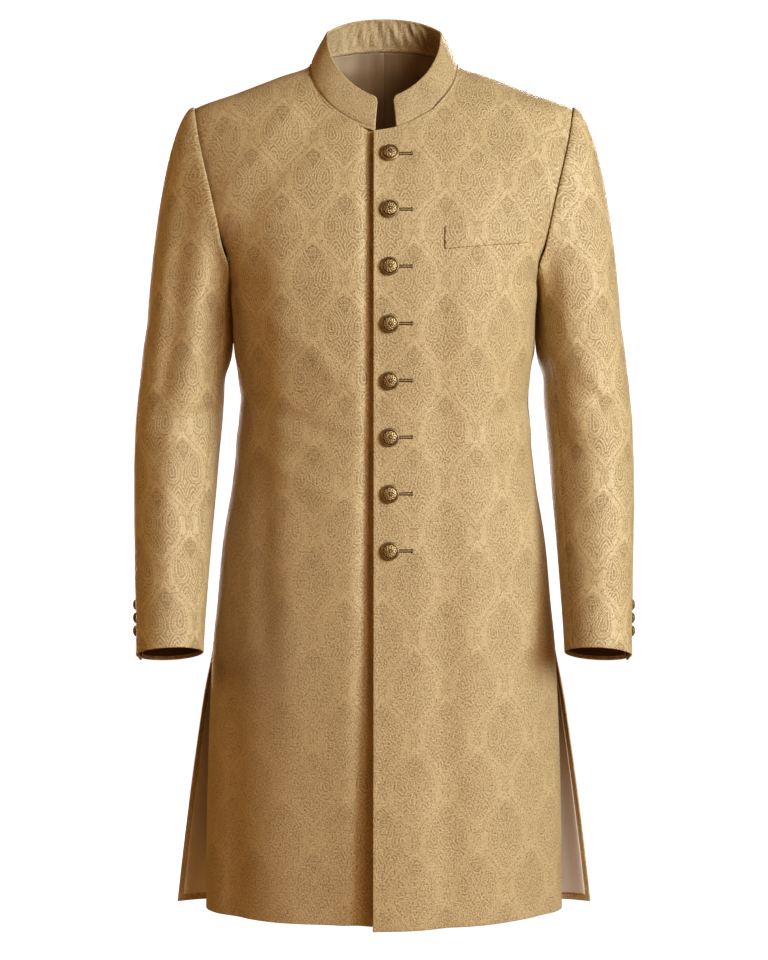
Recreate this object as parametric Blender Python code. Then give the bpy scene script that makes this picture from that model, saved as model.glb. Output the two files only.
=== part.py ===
"""A knee-length sherwani coat, hollow as it is worn: two overlapping fronts, a back, two-piece
sleeves, a stand collar, a chest welt, metal buttons, and the back lining that shows at neck and vents.

Metres, +Z up. The front faces -Y and the wearer's left is +X. The origin is the middle of the neck
seam at shoulder height, where the wearer's shoulders carry the coat.
"""

import math

import bmesh
import bpy
import numpy as np

# Walls and gaps
CLOTH_WALL = 0.0018
LINING_WALL = 0.0010
COLLAR_WALL = 0.0028
SEAM_GAP = 0.0003
OVERLAP_GAP = 0.0007

# Heights
SHOULDER_TIP = -0.0513
UNDERARM = -0.262
VENT_TOP = -0.694
HEM = -1.0093
OVER_HEM_DROP = 0.0022

# Neck seam
NECK_HALF_WIDTH = 0.0894
NECK_FRONT_DROP = 0.0833
NECK_BACK_RISE = 0.0235
NECK_FRONT_POWERS = (1.5, 0.47)
NECK_BACK_POWERS = (2.2, 0.6)

# Front closure: how far each front runs past the middle
OVER_FRONT_REACH = 0.0123
UNDER_FRONT_REACH = 0.033
OVER_FRONT_CORNER = 0.005
FRONT_CORNER_DROP = 0.0015
OVER_LIFT_FULL = 0.036
OVER_LIFT_GONE = 0.075
LAST_BUTTON = -0.5732
SKIRT_SWING = 0.0125
SKIRT_SWING_REACH = 0.19

# Buttons
FRONT_BUTTONS = 8
FIRST_BUTTON = -0.1130
BUTTON_LINE = 0.0069
BUTTON_RADIUS = 0.0108
BUTTON_SHANK = 0.0005
CUFF_BUTTONS = 3
CUFF_BUTTON_RADIUS = 0.0065
CUFF_BUTTON_PITCH = 0.0149
CUFF_BUTTON_LOWEST = 0.030
CUFF_BUTTON_SHANK = 0.0006

# Chest welt, on the wearer's left
WELT_NEAR = 0.0705
WELT_FAR = 0.1690
WELT_LOW = -0.2240
WELT_HEIGHT = 0.0255
WELT_RISE = 0.0085
WELT_WALL = 0.0012
WELT_GAP = 0.0007
WELT_ROWS = 2
WELT_SPANS = 6

# Collar
COLLAR_LEFT_END = 0.0103
COLLAR_RIGHT_END = 0.0144
COLLAR_RISE = 0.0388
COLLAR_BACK_LOSS = 0.0016
COLLAR_SIDE_LEAN = 0.0204
COLLAR_FRONT_LEAN = 0.0125
COLLAR_FRONT_DEPTH = 0.074
COLLAR_BOW = 0.0012
COLLAR_CLEARANCE = 0.0008
COLLAR_CORNER = 0.004

# Lining border left of plain cloth
LINING_SIDE_BORDER = 0.0065
LINING_HEM_BORDER = 0.0095
LINING_NECK_BORDER = 0.0015

# How finely the panels are divided
NECK_COLUMNS = 6
SHOULDER_COLUMNS = 5
ARM_ROWS = 10
SKIRT_LEVELS = (
    -0.300, -0.341, -0.375, -0.408, -0.442, -0.476, -0.512, -0.548, -0.590,
    -0.640, VENT_TOP, -0.752, -0.815, -0.880, -0.945, HEM,
)
COLLAR_ROWS = 4

# Level sections of the body. "back_side" is how far behind the middle the back panel's side edge
# lies, "fullness" the power of the section's rounded outline, and "spread" how far the back's sides
# have turned from facing sideways, at 0, to lying flat across, at 1.
BODY_COLUMNS = (
    "level", "front_half", "back_half", "front", "back", "back_side", "fullness", "spread",
)
BODY = (
    (0.0300, 0.0620, 0.0620, 0.0100, 0.0460, 0.000, 2.30, 0.0),
    (0.0235, 0.0735, 0.0735, 0.0130, 0.0520, 0.000, 2.30, 0.0),
    (0.0120, 0.0855, 0.0855, 0.0170, 0.0600, 0.000, 2.30, 0.0),
    (0.0000, 0.0894, 0.0894, 0.0220, 0.0660, 0.000, 2.30, 0.0),
    (-0.0144, 0.1270, 0.1270, 0.0350, 0.0735, 0.000, 2.30, 0.0),
    (-0.0336, 0.1770, 0.1770, 0.0480, 0.0810, 0.000, 2.30, 0.0),
    (-0.0513, 0.2250, 0.2250, 0.0590, 0.0870, 0.000, 2.30, 0.0),
    (-0.0600, 0.2370, 0.2370, 0.0630, 0.0890, 0.000, 2.30, 0.0),
    (-0.0833, 0.2440, 0.2440, 0.0740, 0.0950, 0.000, 2.30, 0.0),
    (-0.1200, 0.2450, 0.2450, 0.0930, 0.1030, 0.000, 2.30, 0.0),
    (-0.1600, 0.2390, 0.2390, 0.1080, 0.1090, 0.000, 2.32, 0.0),
    (-0.2000, 0.2230, 0.2230, 0.1180, 0.1120, 0.000, 2.38, 0.0),
    (-0.2400, 0.1970, 0.1970, 0.1225, 0.1120, 0.000, 2.60, 0.0),
    (-0.2620, 0.1815, 0.1815, 0.1238, 0.1110, 0.000, 2.90, 0.0),
    (-0.3000, 0.1790, 0.1790, 0.1235, 0.1080, 0.000, 2.75, 0.0),
    (-0.3410, 0.1780, 0.1780, 0.1210, 0.1030, 0.000, 2.55, 0.0),
    (-0.3740, 0.1748, 0.1748, 0.1185, 0.0990, 0.000, 2.40, 0.0),
    (-0.4080, 0.1734, 0.1734, 0.1165, 0.0980, 0.000, 2.30, 0.0),
    (-0.4420, 0.1750, 0.1750, 0.1155, 0.1000, 0.000, 2.25, 0.0),
    (-0.4750, 0.1788, 0.1788, 0.1150, 0.1030, 0.000, 2.15, 0.0),
    (-0.5090, 0.1830, 0.1830, 0.1160, 0.1080, 0.000, 2.15, 0.0),
    (-0.5420, 0.1888, 0.1888, 0.1175, 0.1140, 0.000, 2.15, 0.0),
    (-0.5760, 0.1938, 0.1938, 0.1185, 0.1190, 0.000, 2.15, 0.0),
    (-0.6430, 0.1998, 0.1998, 0.1195, 0.1250, 0.000, 2.10, 0.0),
    (-0.6940, 0.2050, 0.2050, 0.1195, 0.1290, 0.000, 2.05, 0.0),
    (-0.7520, 0.2080, 0.2165, 0.1190, 0.1340, 0.007, 2.00, 0.3),
    (-0.8200, 0.2105, 0.2270, 0.1180, 0.1390, 0.014, 1.95, 0.6),
    (-0.9270, 0.2130, 0.2412, 0.1155, 0.1470, 0.026, 1.90, 0.9),
    (-1.0093, 0.2135, 0.2508, 0.1130, 0.1540, 0.035, 1.85, 1.0),
)
BACK_SPREAD_POWER = 1.25

# The armhole's distance from the middle, on the front and on the back
ARMHOLE_COLUMNS = ("level", "front", "back")
ARMHOLE = (
    (-0.0513, 0.2256, 0.2256),
    (-0.0620, 0.2235, 0.2232),
    (-0.0880, 0.2190, 0.2165),
    (-0.1240, 0.2106, 0.2080),
    (-0.1620, 0.2012, 0.2020),
    (-0.2000, 0.1930, 0.1960),
    (-0.2210, 0.1885, 0.1915),
    (-0.2420, 0.1820, 0.1860),
    (-0.2620, 0.1815, 0.1815),
)

# Sleeve sections down the arm, for the wearer's left. "tilt" turns a section's front edge up.
SLEEVE_COLUMNS = ("level", "across", "deep", "half_width", "half_depth", "tilt")
SLEEVE = (
    (-0.3120, 0.2331, 0.0070, 0.0517, 0.0700, 1.0),
    (-0.3410, 0.2359, 0.0070, 0.0533, 0.0690, 2.0),
    (-0.3760, 0.2413, 0.0060, 0.0515, 0.0670, 3.0),
    (-0.4060, 0.2440, 0.0030, 0.0520, 0.0645, 5.0),
    (-0.4240, 0.2455, 0.0005, 0.0520, 0.0630, 7.0),
    (-0.4420, 0.2465, -0.0030, 0.0515, 0.0620, 9.0),
    (-0.4720, 0.2480, -0.0100, 0.0505, 0.0605, 11.0),
    (-0.5120, 0.2490, -0.0200, 0.0488, 0.0585, 13.0),
    (-0.5550, 0.2500, -0.0320, 0.0464, 0.0560, 14.0),
    (-0.5950, 0.2505, -0.0430, 0.0442, 0.0535, 15.0),
    (-0.6300, 0.2508, -0.0530, 0.0424, 0.0515, 15.0),
    (-0.6640, 0.2510, -0.0625, 0.0407, 0.0498, 15.0),
    (-0.6975, 0.2512, -0.0722, 0.0395, 0.0490, 15.0),
)
CUFF_ROLL = 0.0025
CUFF_ROLL_START = -0.55
# The sleeve's head: how it leaves the armhole at the top and the rest of the way, and how far it is
# drawn out from the seam and down from it before it hangs
CAP_OUT = (0.4, 0.6)
CAP_FORWARD = 0.35
CAP_RISE = (0.30, 0.55)
CAP_PULL = (0.019, 0.004)
CAP_TUCK = 0.0105
CAP_FALL = (0.148, 0.012)
CAP_STEPS = (0.0, 0.07, 0.17, 0.30, 0.46, 0.64, 0.82)
FRONT_SEAM_COLUMN = 8
BACK_SEAM_COLUMN = -3
BACK_SEAM_TWIST = math.radians(28)

# Soft vertical folds of the skirt: where round the panel, how wide, and how deep at the hem
FOLD_COLUMNS = ("share", "width", "depth")
OVER_FRONT_FOLDS = ((0.30, 0.09, -0.0020), (0.52, 0.10, 0.0025), (0.80, 0.07, -0.0030))
UNDER_FRONT_FOLDS = ((0.34, 0.09, -0.0025), (0.55, 0.10, 0.0020), (0.76, 0.07, -0.0045))
BACK_FOLDS = ((0.20, 0.08, 0.0040), (0.42, 0.08, -0.0050), (0.64, 0.07, 0.0040), (0.84, 0.06, -0.0040))
FOLD_START = -0.56

# Creases of the sleeves, in metres and degrees: "turn" is the way round the sleeve from its outer
# side by the front, "slant" the rise of the crease for each degree round
CREASE_COLUMNS = ("level", "turn", "slant", "tall", "wide", "depth")
LEFT_CREASES = (
    (-0.4160, 64.0, 0.00067, 0.014, 35.0, -0.0050),
    (-0.4420, 100.0, 0.00044, 0.016, 40.0, 0.0025),
    (-0.3900, 215.0, -0.00056, 0.018, 40.0, -0.0030),
)
RIGHT_CREASES = (
    (-0.4270, 110.0, 0.00027, 0.014, 44.0, -0.0050),
    (-0.4560, 80.0, -0.00033, 0.016, 40.0, 0.0025),
    (-0.3950, 220.0, -0.00044, 0.018, 40.0, -0.0030),
)

# Turned profiles of the buttons, as shares of the button's radius: out from the axis, up from the cloth
BUTTON_PROFILE = (
    (0.30, 0.00),
    (0.30, 0.13),
    (0.93, 0.15),
    (1.00, 0.25),
    (0.97, 0.36),
    (0.80, 0.50),
    (0.48, 0.62),
    (0.36, 0.63),
    (0.30, 0.74),
    (0.00, 0.78),
)
CUFF_BUTTON_PROFILE = (
    (0.32, 0.00),
    (0.32, 0.14),
    (0.94, 0.18),
    (1.00, 0.32),
    (0.78, 0.60),
    (0.40, 0.74),
    (0.00, 0.80),
)
BUTTON_SIDES = 14
CUFF_BUTTON_SIDES = 10

ARC_SAMPLES = 161
NORMAL_STEP = 0.0005


def smooth_curve(heights, values):
    """A function of height that runs smoothly through the rows and never overshoots them."""
    order = np.argsort(heights)
    x = np.asarray(heights, float)[order]
    y = np.asarray(values, float)[order]
    step = np.diff(x)
    slope = np.diff(y) / step
    lean = np.zeros(len(x))
    lean[0] = slope[0]
    lean[-1] = slope[-1]
    for i in range(1, len(x) - 1):
        if slope[i - 1] * slope[i] > 0:
            before = 2 * step[i] + step[i - 1]
            after = step[i] + 2 * step[i - 1]
            lean[i] = (before + after) / (before / slope[i - 1] + after / slope[i])

    def value(at):
        at = np.clip(at, x[0], x[-1])
        i = np.clip(np.searchsorted(x, at) - 1, 0, len(step) - 1)
        t = (at - x[i]) / step[i]
        rise = y[i + 1] - y[i]
        start = step[i] * lean[i]
        end = step[i] * lean[i + 1]
        return y[i] + t * (start + t * (3 * rise - 2 * start - end + t * (start + end - 2 * rise)))

    return value


def curves_of(columns, rows):
    """One smooth function of height for each named column after the first."""
    table = np.array(rows)
    return {name: smooth_curve(table[:, 0], table[:, i]) for i, name in enumerate(columns) if i}


BODY_AT = curves_of(BODY_COLUMNS, BODY)
ARMHOLE_AT = curves_of(ARMHOLE_COLUMNS, ARMHOLE)
SLEEVE_AT = curves_of(SLEEVE_COLUMNS, SLEEVE)


def ease(low, high, value):
    """0 below low, 1 above high, with a soft start and end."""
    t = np.clip((value - low) / (high - low), 0, 1)
    return t * t * (3 - 2 * t)


def section(face, level):
    """Half width, depth, side setback and the two powers of the front's or the back's outline."""
    power = BODY_AT["fullness"](level)
    if face == "front":
        return BODY_AT["front_half"](level), BODY_AT["front"](level), 0.0, power, 1 / power
    spread = BODY_AT["spread"](level)
    edge = (1 - spread) / power + spread * BACK_SPREAD_POWER
    return BODY_AT["back_half"](level), BODY_AT["back"](level), BODY_AT["back_side"](level), power, edge


def body_depth(face, x, level):
    """The y of the body's outer surface at a place across and a height."""
    half, depth, setback, power, edge = section(face, level)
    inside = np.clip(1 - (np.abs(x) / half) ** power, 0, 1) ** edge
    away = setback + (depth - setback) * inside
    return away if face == "back" else -away


def body_normal(face, x, y, level):
    """The outward direction of the body's surface at a point of it."""
    def reach(at):
        half, depth, setback, power, edge = section(face, at)
        share = max((abs(y) - setback) / (depth - setback), 1e-4)
        return abs(x) / half, share, half, depth - setback, power, 1 / edge

    def outside(at):
        across, share, _, _, power, root = reach(at)
        return across**power + share**root

    across, share, half, depth, power, root = reach(level)
    normal = np.array([
        power * across ** (power - 1) / half * (1 if x >= 0 else -1),
        root * share ** (root - 1) / depth * (1 if face == "back" else -1),
        (outside(level + NORMAL_STEP) - outside(level - NORMAL_STEP)) / (2 * NORMAL_STEP),
    ])
    return normal / np.linalg.norm(normal)


def across_at(face, level, shares):
    """Places across the body at shares of the way round from its middle, and the whole way."""
    half, depth, setback, power, edge = section(face, level)
    turn = np.linspace(0, math.pi / 2, ARC_SAMPLES)
    x = half * np.sin(turn) ** (2 / power)
    y = (depth - setback) * np.clip(np.cos(turn), 0, 1) ** (2 * edge)
    way = np.concatenate([[0], np.cumsum(np.hypot(np.diff(x), np.diff(y)))])
    shares = np.asarray(shares, float)
    return np.sign(shares) * np.interp(np.abs(shares) * way[-1], way, x), way[-1]


def neck_level(face, x):
    """Height of the neck seam at a place across."""
    share = np.clip(np.abs(x) / NECK_HALF_WIDTH, 0, 1)
    if face == "front":
        power, root = NECK_FRONT_POWERS
        return -NECK_FRONT_DROP * (1 - share**power) ** root
    power, root = NECK_BACK_POWERS
    return NECK_BACK_RISE * (1 - share**power) ** root


def arm_level(column):
    """Height of the armhole at a column, from 0 at the shoulder tip to ARM_ROWS under the arm."""
    turn = math.pi * column / ARM_ROWS
    return (SHOULDER_TIP + UNDERARM) / 2 + (SHOULDER_TIP - UNDERARM) / 2 * math.cos(turn)


def armhole_point(face, column):
    level = arm_level(column)
    x = float(ARMHOLE_AT[face](level))
    if column == ARM_ROWS:
        return np.array([x, 0.0, level])
    return np.array([x, float(body_depth(face, x, level)), level])


def neck_places(start, steps):
    """Places across the neck seam from start to the shoulder, closer together where it turns."""
    turns = np.linspace(0, math.pi / 2, steps + 1)
    return list(start + (NECK_HALF_WIDTH - start) * np.sin(turns))


def upper_grid(face, reach, collar_end, corner):
    """Rows from the underarm level up to neck and shoulder, as places across and heights.

    A front's free top corner lies level with the bottom of the neck, drawn in by corner.
    """
    columns = NECK_COLUMNS + SHOULDER_COLUMNS
    middle = -reach
    if reach:
        places = [middle, *neck_places(collar_end, NECK_COLUMNS - 1)]
    else:
        places = neck_places(0.0, NECK_COLUMNS)
    top = [(x, float(neck_level(face, x))) for x in places[:-1]]
    if reach:
        top[0] = (middle + corner, -NECK_FRONT_DROP - FRONT_CORNER_DROP)
    for i in range(SHOULDER_COLUMNS + 1):
        share = i / SHOULDER_COLUMNS
        level = SHOULDER_TIP * share
        top.append((float(section(face, level)[0]), level))
    top[-1] = tuple(armhole_point(face, 0)[[0, 2]])
    across, way = across_at(face, UNDERARM, [0, 1])
    shares = np.linspace(middle / way, 1, columns + 1)
    bottom = [(x, UNDERARM) for x in across_at(face, UNDERARM, shares)[0]]
    rows = []
    for row in range(1, ARM_ROWS + 1):
        side = armhole_point(face, ARM_ROWS - row)[[0, 2]]
        up = (side[1] - UNDERARM) / (SHOULDER_TIP - UNDERARM)
        start = np.array(bottom[0]) + up * (np.array(top[0]) - bottom[0])
        end = np.array(bottom[-1]) + up * (np.array(top[-1]) - bottom[-1])
        line = []
        for i in range(columns + 1):
            c = i / columns
            straight = (1 - up) * np.array(bottom[i]) + up * np.array(top[i])
            line.append(straight + c * (side - end) + (1 - c) * (np.array([middle, start[1]]) - start))
        rows.append(line)
    rows[-1] = [np.array(point) for point in top]
    return rows


def half_grid(face, reach=0.0, collar_end=0.0, corner=0.0):
    """Points of a half panel from its hem up, each row from the middle to the side, with normals."""
    columns = NECK_COLUMNS + SHOULDER_COLUMNS
    rows = []
    for level in [*SKIRT_LEVELS[::-1], UNDERARM]:
        way = across_at(face, level, [0])[1]
        across = across_at(face, level, np.linspace(-reach / way, 1, columns + 1))[0]
        rows.append([(x, level) for x in across])
    rows += upper_grid(face, reach, collar_end, corner)
    points = []
    normals = []
    for line in rows:
        places = [np.array([x, float(body_depth(face, x, level)), level]) for x, level in line]
        points.append(places)
        normals.append([body_normal(face, *place) for place in places])
    return np.array(points), np.array(normals)


def folds(rows, share, level):
    """How far the skirt's soft folds move the cloth out at a share round the panel."""
    total = 0.0
    for row in rows:
        fold = dict(zip(FOLD_COLUMNS, row))
        total += fold["depth"] * math.exp(-(((share - fold["share"]) / fold["width"]) ** 2))
    return total * ease(0, 1, (FOLD_START - level) / (FOLD_START - HEM))


def lifted(points, normals, lift):
    """The grid moved out along its normals by lift(row, column)."""
    moved = points.copy()
    for r, c in np.ndindex(points.shape[:2]):
        moved[r, c] += normals[r, c] * lift(r, c)
    return moved


def drawn_in(points, **gaps):
    """The grid with the named edges drawn back, along its own lines, by a distance each."""
    lines = {
        "hem": (np.s_[0, :], np.s_[1, :]),
        "top": (np.s_[-1, :], np.s_[-2, :]),
        "middle": (np.s_[:, 0], np.s_[:, 1]),
        "side": (np.s_[:, -1], np.s_[:, -2]),
    }
    drawn = points.copy()
    for name, gap in gaps.items():
        edge, inward = lines[name]
        step = drawn[inward] - drawn[edge]
        drawn[edge] += step / np.linalg.norm(step, axis=1, keepdims=True) * gap
    return drawn


def mirrored(grid):
    """The other half's grid: x turned round, and each row run from the middle out all the same."""
    return grid * np.array([-1, 1, 1])


def wall(name, outer, inner, material, flip=False, middle=0):
    """A closed wall between two grids of the same size, the outer one facing out.

    Its triangles mirror each other on both sides of the middle column. The diagonals of the
    topmost row, which turns in to the neck, run the other way.
    """
    rows, columns = outer.shape[:2]
    mesh = bpy.data.meshes.new(name)
    shape = bmesh.new()
    out = [[shape.verts.new(p) for p in row] for row in outer]
    back = [[shape.verts.new(p) for p in row] for row in inner]

    def face(*corners, turn=False):
        shape.faces.new(corners[::-1] if flip != turn else corners)

    for r in range(rows - 1):
        for c in range(columns - 1):
            turn = c < middle
            if r == rows - 2:
                turn = not turn
            near, far = (c + 1, c) if turn else (c, c + 1)
            face(out[r][near], out[r][far], out[r + 1][near], turn=turn)
            face(out[r][far], out[r + 1][far], out[r + 1][near], turn=turn)
            face(back[r][near], back[r + 1][near], back[r][far], turn=turn)
            face(back[r][far], back[r + 1][near], back[r + 1][far], turn=turn)
        face(out[r][0], out[r + 1][0], back[r + 1][0], back[r][0])
        face(out[r][-1], back[r][-1], back[r + 1][-1], out[r + 1][-1])
    for c in range(columns - 1):
        face(out[0][c], back[0][c], back[0][c + 1], out[0][c + 1])
        face(out[-1][c], out[-1][c + 1], back[-1][c + 1], back[-1][c])
    shape.to_mesh(mesh)
    shape.free()
    mesh.shade_smooth()
    mesh.set_sharp_from_angle(angle=math.radians(50))
    mesh.materials.append(material)
    thing = bpy.data.objects.new(name, mesh)
    bpy.context.scene.collection.objects.link(thing)
    return thing


def material(name, colour, roughness, metallic=0.0):
    made = bpy.data.materials.new(name)
    made.use_nodes = True
    shader = made.node_tree.nodes["Principled BSDF"]
    shader.inputs["Base Color"].default_value = (*colour, 1)
    shader.inputs["Roughness"].default_value = roughness
    shader.inputs["Metallic"].default_value = metallic
    return made


def over_lift(point):
    """How far the over front stands out from the body's surface."""
    closed = (CLOTH_WALL + OVERLAP_GAP) * (1 - ease(OVER_LIFT_FULL, OVER_LIFT_GONE, point[0]))
    swing = SKIRT_SWING * (1 - ease(0, SKIRT_SWING_REACH, point[0]))
    return closed + swing * ease(0, 1, (LAST_BUTTON - point[2]) / (LAST_BUTTON - HEM))


def make_over_front(brocade):
    """The wearer's left front, which laps over the right one and carries the buttonholes."""
    points, normals = half_grid("front", OVER_FRONT_REACH, COLLAR_RIGHT_END, OVER_FRONT_CORNER)
    columns = points.shape[1] - 1

    def lift(r, c):
        return over_lift(points[r, c]) + folds(OVER_FRONT_FOLDS, c / columns, points[r, c, 2])

    outer = drawn_in(lifted(points, normals, lift), side=SEAM_GAP, top=SEAM_GAP)
    outer[0, :, 2] -= OVER_HEM_DROP * (1 - np.arange(columns + 1) / columns)
    wall("front_left", outer, outer - normals * CLOTH_WALL, brocade)


def make_under_front(brocade):
    """The wearer's right front, whose button stand lies under the left one."""
    points, normals = half_grid("front", UNDER_FRONT_REACH, COLLAR_LEFT_END)
    columns = points.shape[1] - 1

    def lift(r, c):
        return folds(UNDER_FRONT_FOLDS, c / columns, points[r, c, 2])

    outer = drawn_in(lifted(points, normals, lift), side=SEAM_GAP, top=SEAM_GAP)
    inner = outer - normals * CLOTH_WALL
    wall("front_right", mirrored(outer), mirrored(inner), brocade, flip=True)


def whole_back(half_points, half_normals):
    """Both halves of the back in one grid, from the wearer's right to the left."""
    points = np.concatenate([mirrored(half_points)[:, :0:-1], half_points], axis=1)
    normals = np.concatenate([mirrored(half_normals)[:, :0:-1], half_normals], axis=1)
    return points, normals


def back_lift(points):
    columns = points.shape[1] - 1

    def lift(r, c):
        return folds(BACK_FOLDS, c / columns, points[r, c, 2])

    return lift


def make_back(brocade):
    """The back, cut in one piece across."""
    points, normals = half_grid("back")
    outer = drawn_in(lifted(points, normals, back_lift(points)), side=SEAM_GAP, top=SEAM_GAP)
    middle = outer.shape[1] - 1
    outer, normals = whole_back(outer, normals)
    wall("back", outer, outer - normals * CLOTH_WALL, brocade, flip=True, middle=middle)


def make_lining(satin):
    """The two halves of the back's lining, which meet in a seam down the middle."""
    points, normals = half_grid("back")
    cloth = lifted(points, normals, back_lift(points)) - normals * (CLOTH_WALL + 2 * SEAM_GAP)
    borders = {
        "side": LINING_SIDE_BORDER,
        "hem": LINING_HEM_BORDER,
        "top": LINING_NECK_BORDER,
        "middle": SEAM_GAP / 2,
    }
    outer = drawn_in(cloth, **borders)
    inner = drawn_in(cloth - normals * LINING_WALL, **borders)
    wall("lining_left", outer, inner, satin, flip=True)
    wall("lining_right", mirrored(outer), mirrored(inner), satin)


def sleeve_ring(level, turns, creases):
    """One section of the left sleeve, a point for each turn round it."""
    across, deep, half_width, half_depth, tilt = (
        float(SLEEVE_AT[name](level)) for name in SLEEVE_COLUMNS[1:]
    )
    lean = math.radians(tilt)
    roll = CUFF_ROLL * ease(0, 1, (CUFF_ROLL_START - level) / (CUFF_ROLL_START - SLEEVE[-1][0]))
    ring = []
    for turn in turns:
        press = 0.0
        for row in creases:
            crease = dict(zip(CREASE_COLUMNS, row))
            off = (math.degrees(turn) - crease["turn"] + 180) % 360 - 180
            line = crease["level"] + crease["slant"] * off
            press += crease["depth"] * math.exp(
                -((off / crease["wide"]) ** 2) - ((level - line) / crease["tall"]) ** 2
            )
        forward = (half_depth + press) * math.sin(turn)
        ring.append((
            across + (half_width + press) * math.cos(turn),
            deep - forward * math.cos(lean),
            level + forward * math.sin(lean) - roll * math.cos(turn),
        ))
    return np.array(ring)


def sleeve_turns(fall):
    """Turns round the sleeve for its columns, from under the arm by the back and round to it again."""
    turns = []
    for column in range(-ARM_ROWS, ARM_ROWS + 1):
        if column <= BACK_SEAM_COLUMN:
            weight = (column + ARM_ROWS) / (BACK_SEAM_COLUMN + ARM_ROWS)
        else:
            weight = max(0.0, (FRONT_SEAM_COLUMN - column) / (FRONT_SEAM_COLUMN - BACK_SEAM_COLUMN))
        turns.append(math.pi * column / ARM_ROWS + BACK_SEAM_TWIST * weight * fall)
    return turns


def sleeve_grid(creases):
    """The left sleeve's outer points: rows from the armhole down, columns round it."""
    first = SLEEVE[0][0]
    last = SLEEVE[-1][0]
    ring = sleeve_ring(first, sleeve_turns(0), creases)
    rows = []
    for t in CAP_STEPS:
        row = []
        for i, column in enumerate(range(-ARM_ROWS, ARM_ROWS + 1)):
            turn = math.pi * column / ARM_ROWS
            seam = armhole_point("front" if column > 0 else "back", abs(column))
            top = (1 + math.cos(turn)) / 2
            out = np.array([
                CAP_OUT[0] * top + CAP_OUT[1],
                -CAP_FORWARD * math.sin(turn),
                CAP_RISE[0] * top - CAP_RISE[1] * (1 - top) ** 3,
            ])
            out /= np.linalg.norm(out)
            start = seam + out * SEAM_GAP * 2
            pull = start + out * (CAP_PULL[0] * top + CAP_PULL[1])
            arrive = ring[i] + np.array([-CAP_TUCK * top, 0.0, CAP_FALL[0] * top + CAP_FALL[1]])
            row.append(
                (1 - t) ** 3 * start
                + 3 * t * (1 - t) ** 2 * pull
                + 3 * t * t * (1 - t) * arrive
                + t**3 * ring[i]
            )
        rows.append(row)
    for level in [row[0] for row in SLEEVE]:
        fall = (level - first) / (last - first)
        rows.append(sleeve_ring(level, sleeve_turns(fall), creases))
    return np.array(rows)


def grid_normals(points):
    """Outward normals of a grid that closes on itself round its columns."""
    round_about = np.concatenate([points[:, -2:-1], points, points[:, 1:2]], axis=1)
    along = np.gradient(points, axis=0)
    around = (round_about[:, 2:] - round_about[:, :-2]) / 2
    normals = np.cross(around, along)
    return normals / np.linalg.norm(normals, axis=2, keepdims=True)


def make_sleeve(side, creases, brocade):
    """A two-piece sleeve: the top sleeve over the arm and the under sleeve beneath it."""
    points = sleeve_grid(creases)
    normals = grid_normals(points)
    inner = points - normals * CLOTH_WALL
    back_seam = BACK_SEAM_COLUMN + ARM_ROWS
    front_seam = FRONT_SEAM_COLUMN + ARM_ROWS
    under = list(range(front_seam, 2 * ARM_ROWS)) + list(range(back_seam + 1))
    for name, columns in (("top_sleeve", list(range(back_seam, front_seam + 1))), ("under_sleeve", under)):
        outside = drawn_in(points[:, columns], middle=SEAM_GAP / 2, side=SEAM_GAP / 2)
        inside = drawn_in(inner[:, columns], middle=SEAM_GAP / 2, side=SEAM_GAP / 2)
        if side == "right":
            outside = mirrored(outside)
            inside = mirrored(inside)
        wall(f"{name}_{side}", outside, inside, brocade, flip=side == "right")
    return points, normals


def neck_point(face, x):
    level = float(neck_level(face, x))
    return np.array([x, float(body_depth(face, x, level)), level])


def neck_loop():
    """Corners of the neck seam from the wearer's right front end round the back to the left one."""
    right = [neck_point("front", -x) for x in neck_places(COLLAR_LEFT_END, NECK_COLUMNS - 1)]
    left = [neck_point("front", x) for x in neck_places(COLLAR_RIGHT_END, NECK_COLUMNS - 1)]
    behind = neck_places(0.0, NECK_COLUMNS)
    back = [neck_point("back", -x) for x in behind[-2::-1]] + [neck_point("back", x) for x in behind[1:-1]]
    return np.array([*right, *back, *left[::-1]])


def with_middles(corners):
    """The corners with a point between each pair: on the straight line, and on a smooth curve."""
    ends = np.concatenate([[2 * corners[0] - corners[1]], corners, [2 * corners[-1] - corners[-2]]])
    straight = (corners[1:] + corners[:-1]) / 2
    smooth = (9 * (ends[1:-2] + ends[2:-1]) - ends[:-3] - ends[3:]) / 16
    count = 2 * len(corners) - 1
    flat = np.empty((count, 3))
    round_line = np.empty((count, 3))
    flat[::2] = round_line[::2] = corners
    flat[1::2] = straight
    round_line[1::2] = smooth
    return flat, round_line


def make_collar(brocade):
    """The stand collar, open at the front, leaning in towards the neck."""
    seam, line = with_middles(neck_loop())
    behind = np.clip(line[:, 1], 0, None) / line[:, 1].max()
    raise_by = np.stack(
        [
            -COLLAR_SIDE_LEAN * line[:, 0] / NECK_HALF_WIDTH,
            -COLLAR_FRONT_LEAN * line[:, 1] / COLLAR_FRONT_DEPTH,
            COLLAR_RISE - COLLAR_BACK_LOSS * behind,
        ],
        axis=1,
    )
    outward = line * np.array([1, 1, 0]) / NECK_HALF_WIDTH
    foot = COLLAR_CLEARANCE * (np.array([0, 0, 1]) - outward)
    rows = []
    for row in range(COLLAR_ROWS + 1):
        share = row / COLLAR_ROWS
        base = seam + (line - seam) * min(1, 2 * share)
        rows.append(base + foot + raise_by * share + COLLAR_BOW * math.sin(math.pi * share) * outward)
    outer = np.array(rows)
    along = np.gradient(outer, axis=1)
    up = np.gradient(outer, axis=0)
    normals = np.cross(up, along)
    normals[0, :, 2] = 0
    normals /= np.linalg.norm(normals, axis=2, keepdims=True)
    for end, inward in ((0, 1), (-1, -2)):
        step = outer[-1, inward] - outer[-1, end]
        outer[-1, end] += step / np.linalg.norm(step) * COLLAR_CORNER
    wall("collar", outer, outer - normals * COLLAR_WALL, brocade, flip=True)


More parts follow.
